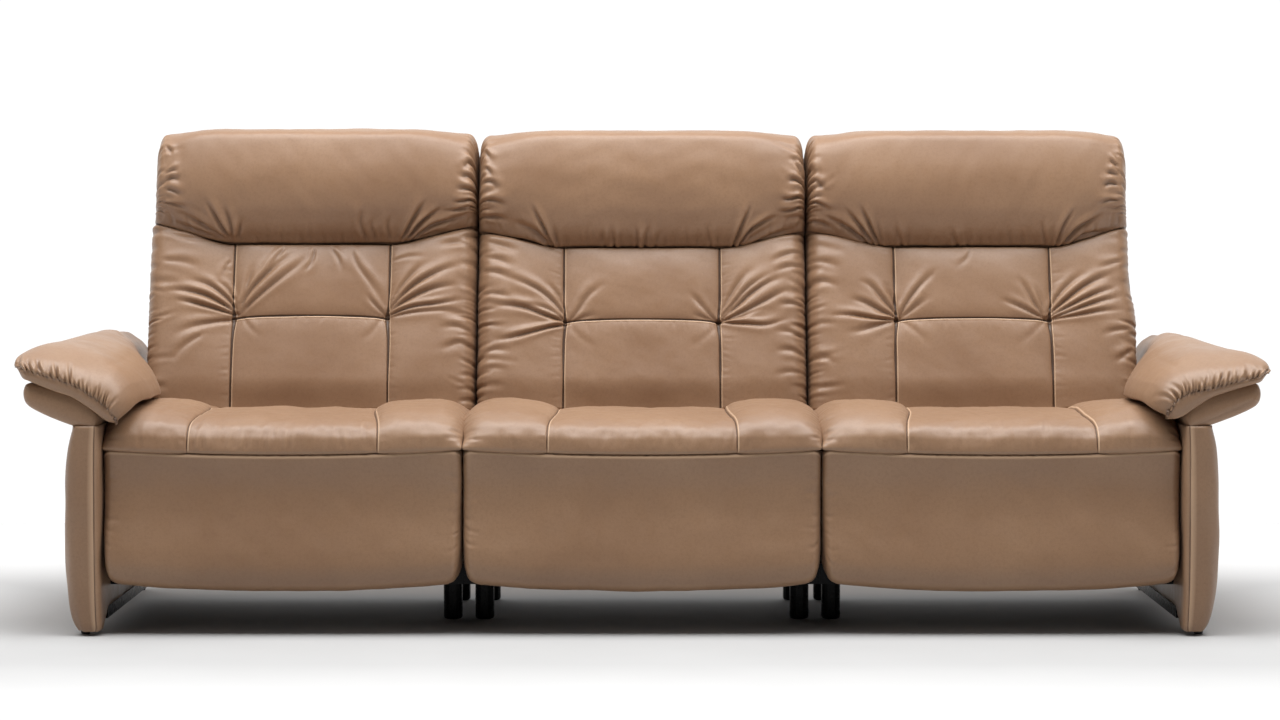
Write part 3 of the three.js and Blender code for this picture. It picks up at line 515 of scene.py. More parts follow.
def headrest(side, rng):
    """The roll over the top of the back, deep in the middle and drawn in at its seam."""
    round_x = 0.028
    u = rounded_stations(HALF, round_x, 0.0036, (), 16)
    centre = [(-0.0500, 0.4150), (-0.0700, 0.4165), (-0.0861, 0.4188), (-0.0953, 0.4258),
              (-0.1054, 0.4340), (-0.1158, 0.4463), (-0.1260, 0.4619), (-0.1360, 0.4796),
              (-0.1441, 0.5001), (-0.1507, 0.5211), (-0.1558, 0.5426), (-0.1588, 0.5637),
              (-0.1598, 0.5834), (-0.1598, 0.6014), (-0.1591, 0.6174), (-0.1575, 0.6301),
              (-0.1533, 0.6387), (-0.1444, 0.6466), (-0.1279, 0.6557), (-0.1033, 0.6655),
              (-0.0540, 0.6821), (-0.0157, 0.6875), (0.0188, 0.6790),
              (0.0454, 0.6531), (0.0580, 0.6040)]
    end = [(-0.0500, 0.4150), (-0.0740, 0.4160), (-0.0868, 0.4202), (-0.0973, 0.4367), (-0.1095, 0.4590),
           (-0.1205, 0.4869), (-0.1286, 0.5159), (-0.1343, 0.5456), (-0.1370, 0.5740), (-0.1355, 0.6010),
           (-0.1272, 0.6265), (-0.1065, 0.6478), (-0.0640, 0.6660), (-0.0296, 0.6735), (0.0036, 0.6740),
           (0.0298, 0.6648), (0.0466, 0.6462), (0.0570, 0.6040)]
    inner = [(-0.0088, 0.416), (-0.0088, 0.45), (-0.0088, 0.49), (-0.0088, 0.53), (-0.0088, 0.57),
             (-0.0088, 0.600), (-0.0040, 0.613), (0.006, 0.618), (0.016, 0.616), (0.024, 0.604)]
    count = 150
    share = smooth(np.abs(u), 0.16, HALF) ** 1.9
    front = blended_paths(centre, end, share, count)
    foot = np.broadcast_to(resample(path(inner), count), front.shape).copy()
    rise = head_seam_rise(side, u)[:, None]
    for curve in (front, foot):
        curve[:, :, 1] += rise * (1 - smooth(curve[:, :, 1], 0.418, 0.53)) * (curve[:, :, 0] < 0.02)
    U, S = np.meshgrid(u, np.linspace(0, 0.44, count), indexing="ij")
    low_narrow, high_narrow = {"left": (0.0, 0.0115), "middle": (0.0, 0.0), "right": (0.0085, 0.0145)}[side]
    share_up = smooth(front[:, :, 1], 0.42, 0.52)
    X = drawn_in(side, U, low_narrow + (high_narrow - low_narrow) * share_up)
    if side == "left":
        front[:, :, 1] += 0.0035 * smooth(front[:, :, 1], 0.50, 0.66)

    height = folds(U, S, HEAD_FOLDS[side], 1.55)
    add_gathers(height, rng, U, S, (
        ((SIDE_X, 0.06), (SIDE_X, 0.30), 180, 0.024, 0.038, 0.0034, 0.0030),
        ((SIDE_X, 0.06), (SIDE_X, 0.28), 174, 0.055, 0.075, 0.0055, 0.0022),
        ((0.20, 0.030), (0.33, 0.034), 80, 0.026, 0.045, 0.0045, 0.0016)))
    height += gathers(rng, U, S, (-0.16, 0.026), (0.16, 0.026), 90, 0.021, 0.048, 0.0042, 0.0018)
    height += unevenness(rng, U, S, 0.0008, 0.14) + unevenness(rng, U, S, 0.0003, 0.05)
    height += 0.0006 * hill(S - 0.028, 0.003)
    # Seam paint: a dark seam line, then painted shade over the roll's underside, full near the seam and gone about
    # 85 mm up
    seam = 0.8 * hill(S - 0.022, 0.0022) + 0.34 * (1 - smooth(S, 0.030, 0.085))
    return grid_slab(f"{side}_headrest_cover", X, front, foot, end_share(u, HALF, round_x, 3.0), height,
                     seam, leaned(side))


def front_seam_z(x):
    """The height of the seam between the seat and the leg rest's panel, which sags in the middle."""
    return FRONT_SEAM_Z + FRONT_SEAM_ARCH * np.minimum((x / HALF) ** 2, 1)


def seat_cushion(side, rng):
    """A flat centre panel and two raised bolsters, with sewn channels between them."""
    round_x = 0.062
    u = rounded_stations(HALF, round_x, 0.0042, (-SEAT_SEAM_X, SEAT_SEAM_X), 20)
    centre = [(-0.366, 0.3515), (-0.3722, 0.3525), (-0.3735, 0.358), (-0.3702, 0.3740), (-0.3645, 0.3880),
              (-0.3470, 0.4055), (-0.312, 0.4165), (-0.262, 0.4225), (-0.212, 0.4260), (-0.165, 0.4268),
              (-0.110, 0.424), (-0.050, 0.4175), (0.03, 0.407), (0.137, 0.395)]
    under = [(-0.366, 0.3530), (-0.3690, 0.3540), (-0.3670, 0.3560), (-0.358, 0.3575), (-0.342, 0.3585),
             (-0.320, 0.3590), (-0.288, 0.3590), (-0.250, 0.3590), (-0.205, 0.3590), (-0.165, 0.3590),
             (-0.110, 0.3590), (-0.050, 0.3590), (0.03, 0.3590), (0.135, 0.3590)]
    count = 140
    front, foot = lofted(u, centre, under, count)
    low = front_seam_z(u)[:, None] - FRONT_SEAM_Z
    front[:, :, 1] += low * (1 - smooth(front[:, :, 1], 0.352, 0.410))
    foot[:, :, 1] += low * (1 - smooth(foot[:, :, 0], -0.36, -0.30))
    U, S = np.meshgrid(u, np.linspace(0, 0.545, count), indexing="ij")
    # The channels stand wider apart at the front than over the crest
    spread = 0.009 * (1 - smooth(S, 0.03, 0.20)) - 0.008 * smooth(S, 0.05, 0.22)
    X = U + np.sign(U) * spread * hill(np.abs(U) - SEAT_SEAM_X, 0.08)
    from_seam = np.abs(U) - SEAT_SEAM_X
    raised = smooth(S, 0.010, 0.15)
    bolster = 0.0205 * rounded(from_seam / 0.095) - 0.004 * smooth(from_seam, 0.09, 0.19)
    panel = 0.0040 * rounded(-from_seam / 0.09) - 0.001
    height = np.where(from_seam > 0, bolster - 0.001, panel) * (0.16 + 0.84 * raised)
    height += (stitched(U - SEAT_SEAM_X) + stitched(U + SEAT_SEAM_X)) * smooth(S, 0.0, 0.02)
    # Seam paint: dark lines on the channel seams, each with a painted highlight beside it
    seam = (stitch_mark(U - SEAT_SEAM_X) + stitch_mark(U + SEAT_SEAM_X)) * smooth(S, 0.0, 0.02)
    seam = seam + 0.55 * hill(S - 0.004, 0.0020)

    creased = {"left": 1.0, "middle": 0.55, "right": 0.5}[side]
    beside = SEAT_SEAM_X + 0.003
    for turn in (-1, 1):
        away = U * turn
        outer = smooth(away, SEAT_SEAM_X - 0.004, SEAT_SEAM_X + 0.004)
        height += outer * gathers(rng, away, S, (beside, 0.03), (beside, 0.24), 5,
                                  0.024, 0.028, 0.0036, 0.0009)
        height += gathers(rng, away, S, (SEAT_SEAM_X + 0.02, 0.010), (HALF - 0.03, 0.010), 86,
                          0.030, 0.045, 0.0046, 0.0011)
        height += gathers(rng, away, S, (0.343, 0.03), (0.343, 0.20), 180, 0.024, 0.040, 0.0042, 0.0018)
    height += creased * gathers(rng, U, S, (-0.165, 0.012), (0.165, 0.012), 90, 0.017, 0.085, 0.0048, 0.0020)
    height += creased * gathers(rng, U, S, (-0.160, 0.055), (0.160, 0.055), 84, 0.030, 0.070, 0.0055, 0.0013)
    uneven = unevenness(rng, U, S, 0.0015, 0.12) + unevenness(rng, U, S, 0.0005, 0.04)
    height += uneven * smooth(S, 0.005, 0.05)
    return grid_slab(f"{side}_seat_cushion_cover", X, front, foot, end_share(u, HALF, round_x, 2.5), height,
                     seam, shifted(side))


def legrest_pad(side, rng):
    """The padded front panel, gently bulging, with rounded lower corners and a sagging lower edge."""
    half, round_x, corner_size = HALF - 0.0003, 0.018, 0.034
    u = rounded_stations(half, round_x, 0.006, ())
    curve = [(-0.350, 0.3508), (-0.3660, 0.3508), (-0.3718, 0.3480), (-0.3706, 0.335), (-0.3676, 0.308),
             (-0.3676, 0.278), (-0.3730, 0.238), (-0.3832, 0.196), (-0.3925, 0.160), (-0.3970, 0.130),
             (-0.3930, 0.106), (-0.3790, 0.0938), (-0.360, 0.0893), (-0.336, 0.0925)]
    inner = [(-0.345, 0.346), (-0.348, 0.345), (-0.348, 0.342), (-0.346, 0.335), (-0.344, 0.31),
             (-0.342, 0.275), (-0.340, 0.238), (-0.340, 0.20), (-0.340, 0.165), (-0.340, 0.140),
             (-0.338, 0.120), (-0.336, 0.112), (-0.334, 0.108), (-0.330, 0.106)]
    count = 96
    front, foot = lofted(u, curve, inner, count)
    # The lower corners round off, and the lower edge hangs lowest in the middle
    past = np.clip((np.abs(u) - (half - corner_size)) / corner_size, 0, 1)
    corner = corner_size * (1 - np.sqrt(1 - past * past)) * 0.9
    sag = -0.014 * np.clip(1 - (u / 0.33) ** 2, 0, 1) ** 0.8 + 0.010
    lift, top_lift = (corner + sag)[:, None], front_seam_z(u)[:, None] - FRONT_SEAM_Z
    for line in (front, foot):
        z = line[:, :, 1]
        line[:, :, 1] = z + (lift * (1 - smooth(z, 0.10, 0.24)) + top_lift * smooth(z, 0.30, 0.35))
    U, S = np.meshgrid(u, np.linspace(0, 0.30, count), indexing="ij")
    height = 0.003 * np.clip(1 - (U / 0.34) ** 2, 0, 1) * hill(S - 0.18, 0.12)
    uneven = unevenness(rng, U, S, 0.0008, 0.20) + unevenness(rng, U, S, 0.0003, 0.05)
    height += uneven * smooth(S, 0.02, 0.05)
    height += gathers(rng, U, S, (-0.32, 0.024), (0.32, 0.024), -90, 0.030, 0.055, 0.0050, 0.0009)
    add_gathers(height, rng, U, S, (((0.345, 0.06), (0.345, 0.26), 180, 0.026, 0.035, 0.0042, 0.0010),))
    # Painted highlight: a light line just below the seam with the seat
    seam = -0.5 * hill(S - 0.0225, 0.0024)
    return grid_slab(f"{side}_legrest_pad_cover", U, front, foot, end_share(u, half, round_x), height,
                     seam, shifted(side))


def mirrored(points, sign):
    return points * np.array([sign, 1, 1])


def arm_pad(side, sign, rng):
    """A draped pillow whose front edge is gathered onto a slanting seam, over a narrow lower strip."""
    top = even_path([(1.2160, .5215), (1.2155, .5340), (1.2080, .5465), (1.1860, .5580), (1.1560, .5650),
                     (1.1200, .5705), (1.0850, .5670), (1.0480, .5530), (1.0190, .5345), (0.9945, .5110),
                     (0.9765, .4850), (0.9668, .4600), (0.9720, .4390), (1.0060, .4225)], 12)
    sewn = even_path([(1.2140, .5165), (1.2030, .5142), (1.1860, .5098), (1.1600, .5028), (1.1300, .4950),
                      (1.1020, .4862), (1.0780, .4775), (1.0570, .4680), (1.0420, .4590), (1.0310, .4500),
                      (1.0235, .4410), (1.0190, .4330), (1.0160, .4270), (1.0140, .4215)], 12)
    strip = even_path([(1.2105, .5205), (1.2000, .5020), (1.1850, .4947), (1.1600, .4860), (1.1300, .4755),
                       (1.1020, .4660), (1.0780, .4515), (1.0600, .4390), (1.0480, .4300), (1.0390, .4245),
                       (1.0310, .4210), (1.0240, .4195), (1.0180, .4190), (1.0140, .4190)], 12)
    under = even_path([(1.2120, .5200), (1.2020, .5020), (1.1850, .4960), (1.1600, .4905), (1.1300, .4850),
                       (1.1000, .4800), (1.0780, .4750), (1.0620, .4720), (1.0520, .4700), (1.0430, .4620),
                       (1.0350, .4570), (1.0270, .4545), (1.0190, .4530), (1.0130, .4525)], 12)
    # The two pads lie differently: the right one sags outside and its gathered seam runs flatter
    sag = {"left": 0.006, "right": -0.006}[side]
    top[:, 1] += sag * smooth(top[:, 0], 1.070, 1.150)
    seam_rise = (0.008, 0.008, 0.006, 0.004, -0.002, -0.0055, -0.0045, -0.0015, 0.0)
    seam_x = (1.012, 1.031, 1.048, 1.065, 1.087, 1.131, 1.172, 1.200, 1.214)
    turned = sag / -0.006
    sewn[:, 1] += (turned * np.interp(sewn[:, 0], seam_x, seam_rise)
                   + sag * smooth(sewn[:, 0], 1.150, 1.214))
    strip[:, 1] += (0.6 * sag * smooth(strip[:, 0], 1.130, 1.210)
                    - 0.6 * sag * smooth(-strip[:, 0], -1.06, -1.02))
    rows = len(top)
    share = np.linspace(0, 1, rows)
    turn_y, front_y, rear_y = -0.340, -0.409, 0.340
    rear_round, rear_gap = 0.024, 0.030
    tuck, strip_depth, under_depth = 0.003, 0.004, 0.018
    edge_y = front_y + 0.022 * smooth(-share, -0.14, 0.0) + 0.014 * smooth(share, 0.72, 1.0)

    reach_y = (-0.415, -0.363, -0.313, -0.263, -0.163, -0.113, -0.013, 0.060, 0.098, 0.345)
    reach_a = (0.9950, 0.9860, 0.9745, 0.9680, 0.9665, 0.9735, 0.9960, 1.0220, 1.0535, 1.0535)

    def over_seat(section, y):
        """The inner side bulges over the seat at the front, and draws out towards the back cushion."""
        inner = np.interp(y, reach_y, reach_a)
        near = np.minimum(section[:, 0] - 1.11, 0) * (1.11 - inner) / (1.11 - 0.9655)
        section[:, 0] = np.maximum(section[:, 0], 1.11) + near
        return section

    def at_depth(y):
        """The upper section at y: the inner side hangs lower at the very front than over the seat."""
        section = top.copy()
        crown = -0.001 - 0.004 * smooth(-y, 0.10, 0.34) - 0.012 * smooth(y, 0.08, 0.30)
        crown = crown - 0.009 * (1 - smooth(section[:, 0], 1.10, 1.18)) * smooth(-y, 0.04, 0.34)
        crown = crown - 0.007 * smooth(section[:, 0], 1.12, 1.19) * smooth(y, -0.34, -0.12)
        section[:, 1] += crown * np.clip((section[:, 1] - 0.49) / 0.05, 0, 1)
        section[:, 1] += 0.010 * smooth(y, 0.0, 0.12) * hill(section[:, 0] - 1.015, 0.035)
        low = np.clip((0.460 - section[:, 1]) / 0.036, 0, 1)
        section[:, 1] += 0.023 * smooth(y, -0.400, -0.290) * low * (share > 0.5)
        return over_seat(section, y)

    columns, run = [], []
    middle_rear = (at_depth(rear_y) + under) / 2

    def under_at(y):
        return over_seat(under.copy(), y) if y > 0 else under

    def add(section, y, distance):
        columns.append(np.column_stack([section[:, 0], np.broadcast_to(y, (rows,)), section[:, 1]]))
        run.append(np.broadcast_to(distance, (rows,)))

    # Round the rear, along the top, then over the nose and down to the gathered seam
    for turn in np.linspace(0.0, math.pi / 2, 7):
        section = middle_rear + (at_depth(rear_y) - middle_rear) * math.sin(turn)
        add(section, rear_y - rear_round + rear_round * math.cos(turn), 0.6)
    nose_y = turn_y + 0.085 * (1 - smooth(share, 0.42, 0.66)) * smooth(share, 0.12, 0.36)
    for back in np.linspace(0.0, 1.0, 100)[:-1]:
        y = rear_y - rear_gap + (turn_y - rear_y + rear_gap) * back
        place = rear_y - rear_gap + (nose_y - rear_y + rear_gap) * back
        add(at_depth(y), place, place - edge_y)
    for turn in np.linspace(0.0, math.pi / 2, 38):
        section = sewn + (at_depth(turn_y) - sewn) * math.cos(turn) ** 1.10
        section = section + (at_depth(-0.41) - at_depth(turn_y)) * math.sin(turn) * math.cos(turn) ** 0.5
        add(section, nose_y + (edge_y - nose_y) * math.sin(turn), (edge_y - nose_y) * (math.sin(turn) - 1))
    seam_at = len(columns) - 1
    # The strip below the seam, then the underside back to the rear
    for place in np.linspace(0.15, 1.0, 8):
        dip = tuck * math.sin(math.pi * place)
        add(sewn + (strip - sewn) * place, edge_y + tuck + strip_depth * place - dip, -1)
    for place in np.linspace(0.25, 1.0, 6):
        lifted = strip + (under_at(-0.38) - strip) * place
        add(lifted, edge_y + (tuck + strip_depth) + under_depth * place, -1)
    for y in np.linspace(-0.370, rear_y - rear_round, 20):
        add(under_at(y), y, -1)
    for turn in np.linspace(math.pi / 2, 0.0, 7)[1:-1]:
        section = middle_rear + (under_at(rear_y) - middle_rear) * math.sin(turn)
        add(section, rear_y - rear_round + rear_round * math.cos(turn), -1)
    rings = np.stack(columns, axis=1)
    away = np.stack(run, axis=1)
    gaps = np.linalg.norm(np.diff((top + 2 * sewn) / 3, axis=0), axis=1)
    A, V = np.broadcast_arrays(np.concatenate([[0], np.cumsum(gaps)])[:, None], away)
    shown = (V >= 0).astype(float)
    # The real distance from the seam, along the surface
    steps = np.linalg.norm(np.diff(rings[:, :seam_at + 1], axis=1), axis=2)
    along = np.zeros(V.shape)
    along[:, :seam_at] = np.cumsum(steps[:, ::-1], axis=1)[:, ::-1]
    height = 0.0020 * hill(along - 0.040, 0.030) - 0.004 * hill(along, 0.005)
    add_gathers(height, rng, A, along, (
        ((0.012, -0.003), (0.205, -0.003), 84, 0.0088, 0.036, 0.0024, 0.0062),
        ((0.006, -0.003), (0.215, -0.003), 74, 0.0160, 0.060, 0.0036, 0.0040)), turns=(1,))
    height += unevenness(rng, A, along, 0.0013, 0.16)
    fade = smooth(share, 0.0, 0.04) * smooth(-share, -1.0, -0.95)
    rings = displaced(rings, height * shown * fade[:, None], rings - rings.mean(axis=(0, 1)))
    seam = np.zeros(A.shape)
    seam[:, seam_at] = 0.55
    return closed_mesh(f"{side}_arm_pad_cover", mirrored(rings, sign), seam)


def arm_wing(side, sign, rng):
    """The roll that flares out under the arm pad."""
    ring = [(1.0570, .4060), (1.0850, .4052), (1.1060, .4105), (1.1450, .4255), (1.1780, .4415),
            (1.1925, .4530), (1.1975, .4670), (1.1965, .4810), (1.1890, .4905), (1.1650, .4870),
            (1.1300, .4800), (1.1000, .4735), (1.0750, .4630), (1.0590, .4470), (1.0530, .4250),
            (1.0570, .4060)]
    outline = even_path(ring, 7)[:-1]
    spine = np.column_stack([np.clip(outline[:, 0], 1.0625, 1.180), 0 * outline[:, 0]])
    spine[:, 1] = 0.4075 + (spine[:, 0] - 1.0625) * 0.44
    front_y, rear_y, round_y = -0.3975, 0.328, 0.016
    turns = np.linspace(0.0, math.pi / 2, 10)
    ends = [(spine + (outline - spine) * (0.06 + 0.94 * math.sin(turn)), round_y * (1 - math.cos(turn)))
            for turn in turns]
    rows = [(section, front_y + inset) for section, inset in ends]
    rows += [(outline, y) for y in np.linspace(front_y + round_y, rear_y - round_y, 70)[1:-1]]
    rows += [(section, rear_y - inset) for section, inset in ends[::-1]]
    rings = np.stack([np.column_stack([s[:, 0], np.full(len(s), y), s[:, 1]]) for s, y in rows])
    A, V = np.meshgrid([y for _, y in rows], np.linspace(0, 0.36, len(outline)), indexing="ij")
    height = unevenness(rng, A, V, 0.0010, 0.12)
    rings = displaced(rings, height, rings - np.array([1.13, 0, 0.45]))
    return closed_mesh(f"{side}_arm_wing_cover", mirrored(rings, sign), np.zeros(A.shape))


def arm_panel(side, sign, rng):
    """The upright side: padded, fuller outside, with a piped seam down its inner front edge."""
    front, rear = -0.4005, 0.3365
    inner, outer = 1.0505, 1.131
    corner, rear_corner = 0.034, 0.028
    top_z = 0.4090
    turns = np.linspace(0, math.pi / 2, 14)
    outer_front = [(1.097 + corner * math.sin(a), front + corner * (1 - math.cos(a))) for a in turns]
    # The outline from above: inner side, piped front edge, outer side and rear
    outline = [(inner, -0.300), (inner, -0.360), (inner + 0.0004, -0.3860), (inner + 0.0030, -0.3945),
               (inner + 0.0085, -0.3985), (inner + 0.0112, -0.3992), (inner + 0.0125, -0.3978),
               (inner + 0.0138, -0.3996), (inner + 0.0175, -0.4003), (inner + 0.030, front)]
    outline += outer_front
    outline += [(outer, y) for y in np.linspace(front + corner + 0.012, rear - 0.030, 50)]
    outline += [(outer - rear_corner * (1 - math.cos(a)), rear - rear_corner + rear_corner * math.sin(a))
                for a in turns[1:]]
    outline += [(inner + 0.028, rear), (inner + 0.010, rear - 0.002), (inner + 0.003, rear - 0.008),
                (inner, rear - 0.02)]
    outline += [(inner, y) for y in np.linspace(rear - 0.05, -0.290, 40)]
    outline = np.array(outline)
    # Seam paint: a dark line on the front piping, and a painted highlight strip just beside it
    marks = np.where(np.abs(outline[:, 0] - inner - 0.0125) < 0.0006, 1.0, 0.0) * (outline[:, 1] < -0.39)
    marks -= 0.4 * (np.abs(outline[:, 0] - inner - 0.0156) < 0.0025) * (outline[:, 1] < -0.39)
    bottom = 0.0085 + 0.0365 * smooth(outline[:, 1], -0.345, -0.297)
    reach = path([(0.0, 1.092), (0.012, 1.099), (0.04, 1.110), (0.09, 1.1185), (0.16, 1.1225), (0.23, 1.1225),
                  (0.30, 1.1215), (0.36, 1.1170), (0.405, 1.106)])
    spine_a, round_level = 1.085, 0.04
    levels = np.concatenate([np.linspace(0, round_level, 9), np.linspace(round_level, 0.97, 64)[1:],
                             [0.985, 1.0]])
    rings = []
    for level in levels:
        z = bottom + level * (top_z - bottom)
        limit = np.interp(z, reach[:, 0], reach[:, 1])
        outward = np.clip((outline[:, 0] - inner) / (outer - inner), 0, 1)
        a = inner + (limit - inner) * outward
        drawn = 1 - 0.10 * (1 - math.sqrt(max(0.0, 1 - (1 - min(level / round_level, 1)) ** 2)))
        a = spine_a + (a - spine_a) * (1 - (1 - drawn) * 1.6)
        y = outline[:, 1] * (1 - (1 - drawn) * 0.15)
        rings.append(np.column_stack([a, y, z]))
    rings = np.stack(rings)
    A, V = np.meshgrid(levels * 0.4, np.linspace(0, 1.6, len(outline)), indexing="ij")
    height = unevenness(rng, A, V, 0.0009, 0.14)
    rings = displaced(rings, height, rings - np.array([1.09, 0, 0.2]))
    rings[:, :, 0] = np.maximum(rings[:, :, 0], inner - 0.0004)
    seam = np.broadcast_to(marks[None], A.shape).astype(float)
    return closed_mesh(f"{side}_arm_panel_cover", mirrored(rings, sign), seam)


def rear_pad(side, rng):
    """The upholstered rear of the back, crowned, with a sewn line across its shoulders."""
    round_x, seam_z = 0.026, 0.46
    u = rounded_stations(REAR_HALF, round_x, 0.008, ())
    curve = [(0.0095, 0.062), (0.020, 0.0605), (0.034, 0.066), (0.043, 0.085), (0.047, 0.14), (0.049, 0.24),
             (0.0495, 0.36), (0.048, 0.48), (0.045, 0.555), (0.040, 0.585), (0.030, 0.598), (0.010, 0.5995)]
    inner = [(0.009, 0.066), (0.010, 0.080), (0.011, 0.095), (0.012, 0.11), (0.012, 0.16), (0.012, 0.25),
             (0.012, 0.36), (0.012, 0.47), (0.012, 0.535), (0.011, 0.565), (0.010, 0.58), (0.009, 0.595)]
    count = 96
    front, foot = lofted(u, curve, inner, count)
    U, S = np.meshgrid(u, front[0, :, 1], indexing="ij")
    narrow = {"left": 0.006, "middle": 0.0, "right": 0.013}[side]
    X = drawn_in(side, U, narrow * smooth(S, 0.20, 0.34))
    height = groove(S - seam_z, 0.0025, 0.0022, 0.003, 0.014) + unevenness(rng, U, S, 0.0012, 0.15)
    height += gathers(rng, U, S, (-0.30, 0.455), (0.30, 0.455), -90, 0.040, 0.050, 0.0055, 0.0014)
    seam = hill(S - seam_z, 0.0022)
    return grid_slab(f"{side}_rear_pad_cover", X, front, foot, end_share(u, REAR_HALF, round_x), height,
                     seam, leaned(side))


def rear_valance(side, rng):
    """The low panel that closes the rear below the back."""
    low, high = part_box(f"{side}_rear_valance")
    half, round_x = (high.x - low.x) / 2, 0.012
    u = rounded_stations(half, round_x, 0.010, ())
    front_y, back_y = low.y, high.y
    middle, level = (front_y + back_y) / 2, (low.z + high.z) / 2
    curve = [(middle, high.z), (back_y - 0.003, high.z - 0.001), (back_y, high.z - 0.010), (back_y, level),
             (back_y, low.z + 0.010), (back_y - 0.003, low.z + 0.001), (middle, low.z)]
    heights = (high.z - 0.001, high.z - 0.004, high.z - 0.014, level, low.z + 0.014, low.z + 0.004,
               low.z + 0.001)
    front, foot = lofted(u, curve, [(front_y, z) for z in heights], 60)
    U, S = np.meshgrid(u, front[0, :, 1], indexing="ij")
    height = unevenness(rng, U, S, 0.0006, 0.12) * hill(S - level, 0.1)
    return grid_slab(f"{side}_rear_valance_cover", U, front, foot, end_share(u, half, round_x), height,
                     np.zeros(U.shape), shifted(side))


class Nodes:
    """Adds nodes to one tree. A named value sets a property or a socket, or links another node to it."""

    def __init__(self, tree):
        self.tree = tree

    def feed(self, socket, value):
        if isinstance(value, bpy.types.NodeSocket):
            self.tree.links.new(value, socket)
        else:
            socket.default_value = value

    def add(self, kind, **values):
        made = self.tree.nodes.new(kind)
        for key, value in values.items():
            if hasattr(made, key):
                setattr(made, key, value)
            else:
                self.feed(made.inputs[key.replace("_", " ")], value)
        return made

    def spread(self, value, low, high, start=0.0, end=1.0):
        """Maps value from low and high to start and end."""
        made = self.add("ShaderNodeMapRange", Value=value, From_Min=low, From_Max=high,
                        To_Min=start, To_Max=end)
        return made.outputs["Result"]

    def math(self, operation, first, second):
        made = self.add("ShaderNodeMath", operation=operation)
        self.feed(made.inputs[0], first)
        self.feed(made.inputs[1], second)
        return made.outputs[0]


class Finish(Nodes):
    """One material round a principled shader, with patterns in the piece's own coordinates."""

    def __init__(self, name):
        self.material = bpy.data.materials.new(name)
        self.material.use_nodes = True
        super().__init__(self.material.node_tree)
        self.tree.nodes.clear()
        self.bsdf = self.add("ShaderNodeBsdfPrincipled")
        self.add("ShaderNodeOutputMaterial", Surface=self.bsdf.outputs["BSDF"])
        self.place = self.add("ShaderNodeTexCoord").outputs["Object"]

    def set(self, **values):
        for key, value in values.items():
            self.feed(self.bsdf.inputs[key.replace("_", " ")], value)

    def noise(self, scale, detail=3.0, roughness=0.55, vector=None):
        made = self.add("ShaderNodeTexNoise", Vector=vector or self.place, Scale=scale, Detail=detail,
                        Roughness=roughness)
        return made.outputs["Fac"]

    def cells(self, scale, feature="F1", vector=None):
        made = self.add("ShaderNodeTexVoronoi", feature=feature, Vector=vector or self.place, Scale=scale)
        return made.outputs["Distance"]

    def stretched(self, x, y, z):
        return self.add("ShaderNodeMapping", Vector=self.place, Scale=(x, y, z)).outputs["Vector"]

    def mix(self, share, first, second):
        made = self.add("ShaderNodeMix", data_type="RGBA")
        for socket, value in zip((0, 6, 7), (share, first, second)):
            self.feed(made.inputs[socket], value)
        return made.outputs[2]

    def bump(self, *layers):
        """Stacks (height, strength, distance) layers of bump."""
        normal = None
        for height, strength, distance in layers:
            made = self.add("ShaderNodeBump", Height=height, Strength=strength, Distance=distance)
            if normal is not None:
                self.feed(made.inputs["Normal"], normal)
            normal = made.outputs["Normal"]
        self.set(Normal=normal)


def linear(red, green, blue):
    """An sRGB colour from 0 to 255 as the linear colour that nodes use."""
    def one(value):
        share = value / 255
        return share / 12.92 if share <= 0.04045 else ((share + 0.055) / 1.055) ** 2.4
    return one(red), one(green), one(blue), 1.0


def leather():
    """Tan leather: pebble, tone patches, dark seam lines, lighter ridges, painted crease shade and painted seam
    highlights.
    """
    n = Finish("tan_leather_finish")
    deep_tan, tan, fleck = linear(137, 105, 79), linear(147, 115, 88), linear(120, 87, 62)
    pit, ridge_tan, painted_crease_shade = linear(96, 67, 46), linear(186, 152, 122), linear(66, 43, 28)
    seam_line, painted_edge_highlight = linear(52, 32, 21), linear(206, 174, 143)
    patches = n.spread(n.noise(4.0, 3.0), 0.35, 0.68)
    tone = n.mix(patches, deep_tan, tan)
    flecks = n.spread(n.noise(150.0, 3.0), 0.45, 0.68)
    tone = n.mix(n.math("MULTIPLY", flecks, 0.22), tone, fleck)
    pebble = n.cells(760.0, "F1")
    wrinkle = n.cells(260.0, "DISTANCE_TO_EDGE", n.stretched(1.0, 1.0, 1.25))
    pits = n.spread(wrinkle, 0.0, 0.10)
    tone = n.mix(n.spread(pits, 0.0, 1.0, 0.12, 0.0), tone, pit)
    bent = n.add("ShaderNodeNewGeometry").outputs["Pointiness"]
    # Lighter on convex ridges, by the mesh's curvature
    tone = n.mix(n.spread(bent, 0.51, 0.62, 0.0, 0.45), tone, ridge_tan)
    # Painted shade: darker in concave creases, by the mesh's curvature
    tone = n.mix(n.spread(bent, 0.38, 0.49, 0.70, 0.0), tone, painted_crease_shade)
    sewn = n.add("ShaderNodeAttribute", attribute_name="seam").outputs["Fac"]
    tone = n.mix(n.spread(sewn, 0.15, 0.90, 0.0, 0.78), tone, seam_line)
    # Painted highlight: a light line on the rolled edge, where the seam paint falls below 0
    tone = n.mix(n.spread(sewn, -0.60, -0.08, 0.75, 0.0), tone, painted_edge_highlight)
    n.set(Base_Color=tone, Roughness=n.spread(n.noise(38.0, 3.0), 0.3, 0.7, 0.41, 0.51))
    n.set(Sheen_Weight=0.03, Sheen_Roughness=0.5, IOR=1.45, Specular_IOR_Level=0.62)
    n.set(Coat_Weight=0.08, Coat_Roughness=0.26)
    n.bump((n.noise(46.0, 4.0), 0.12, 0.0012), (wrinkle, 0.20, 0.0005), (pebble, 0.16, 0.0003))
    return n.material


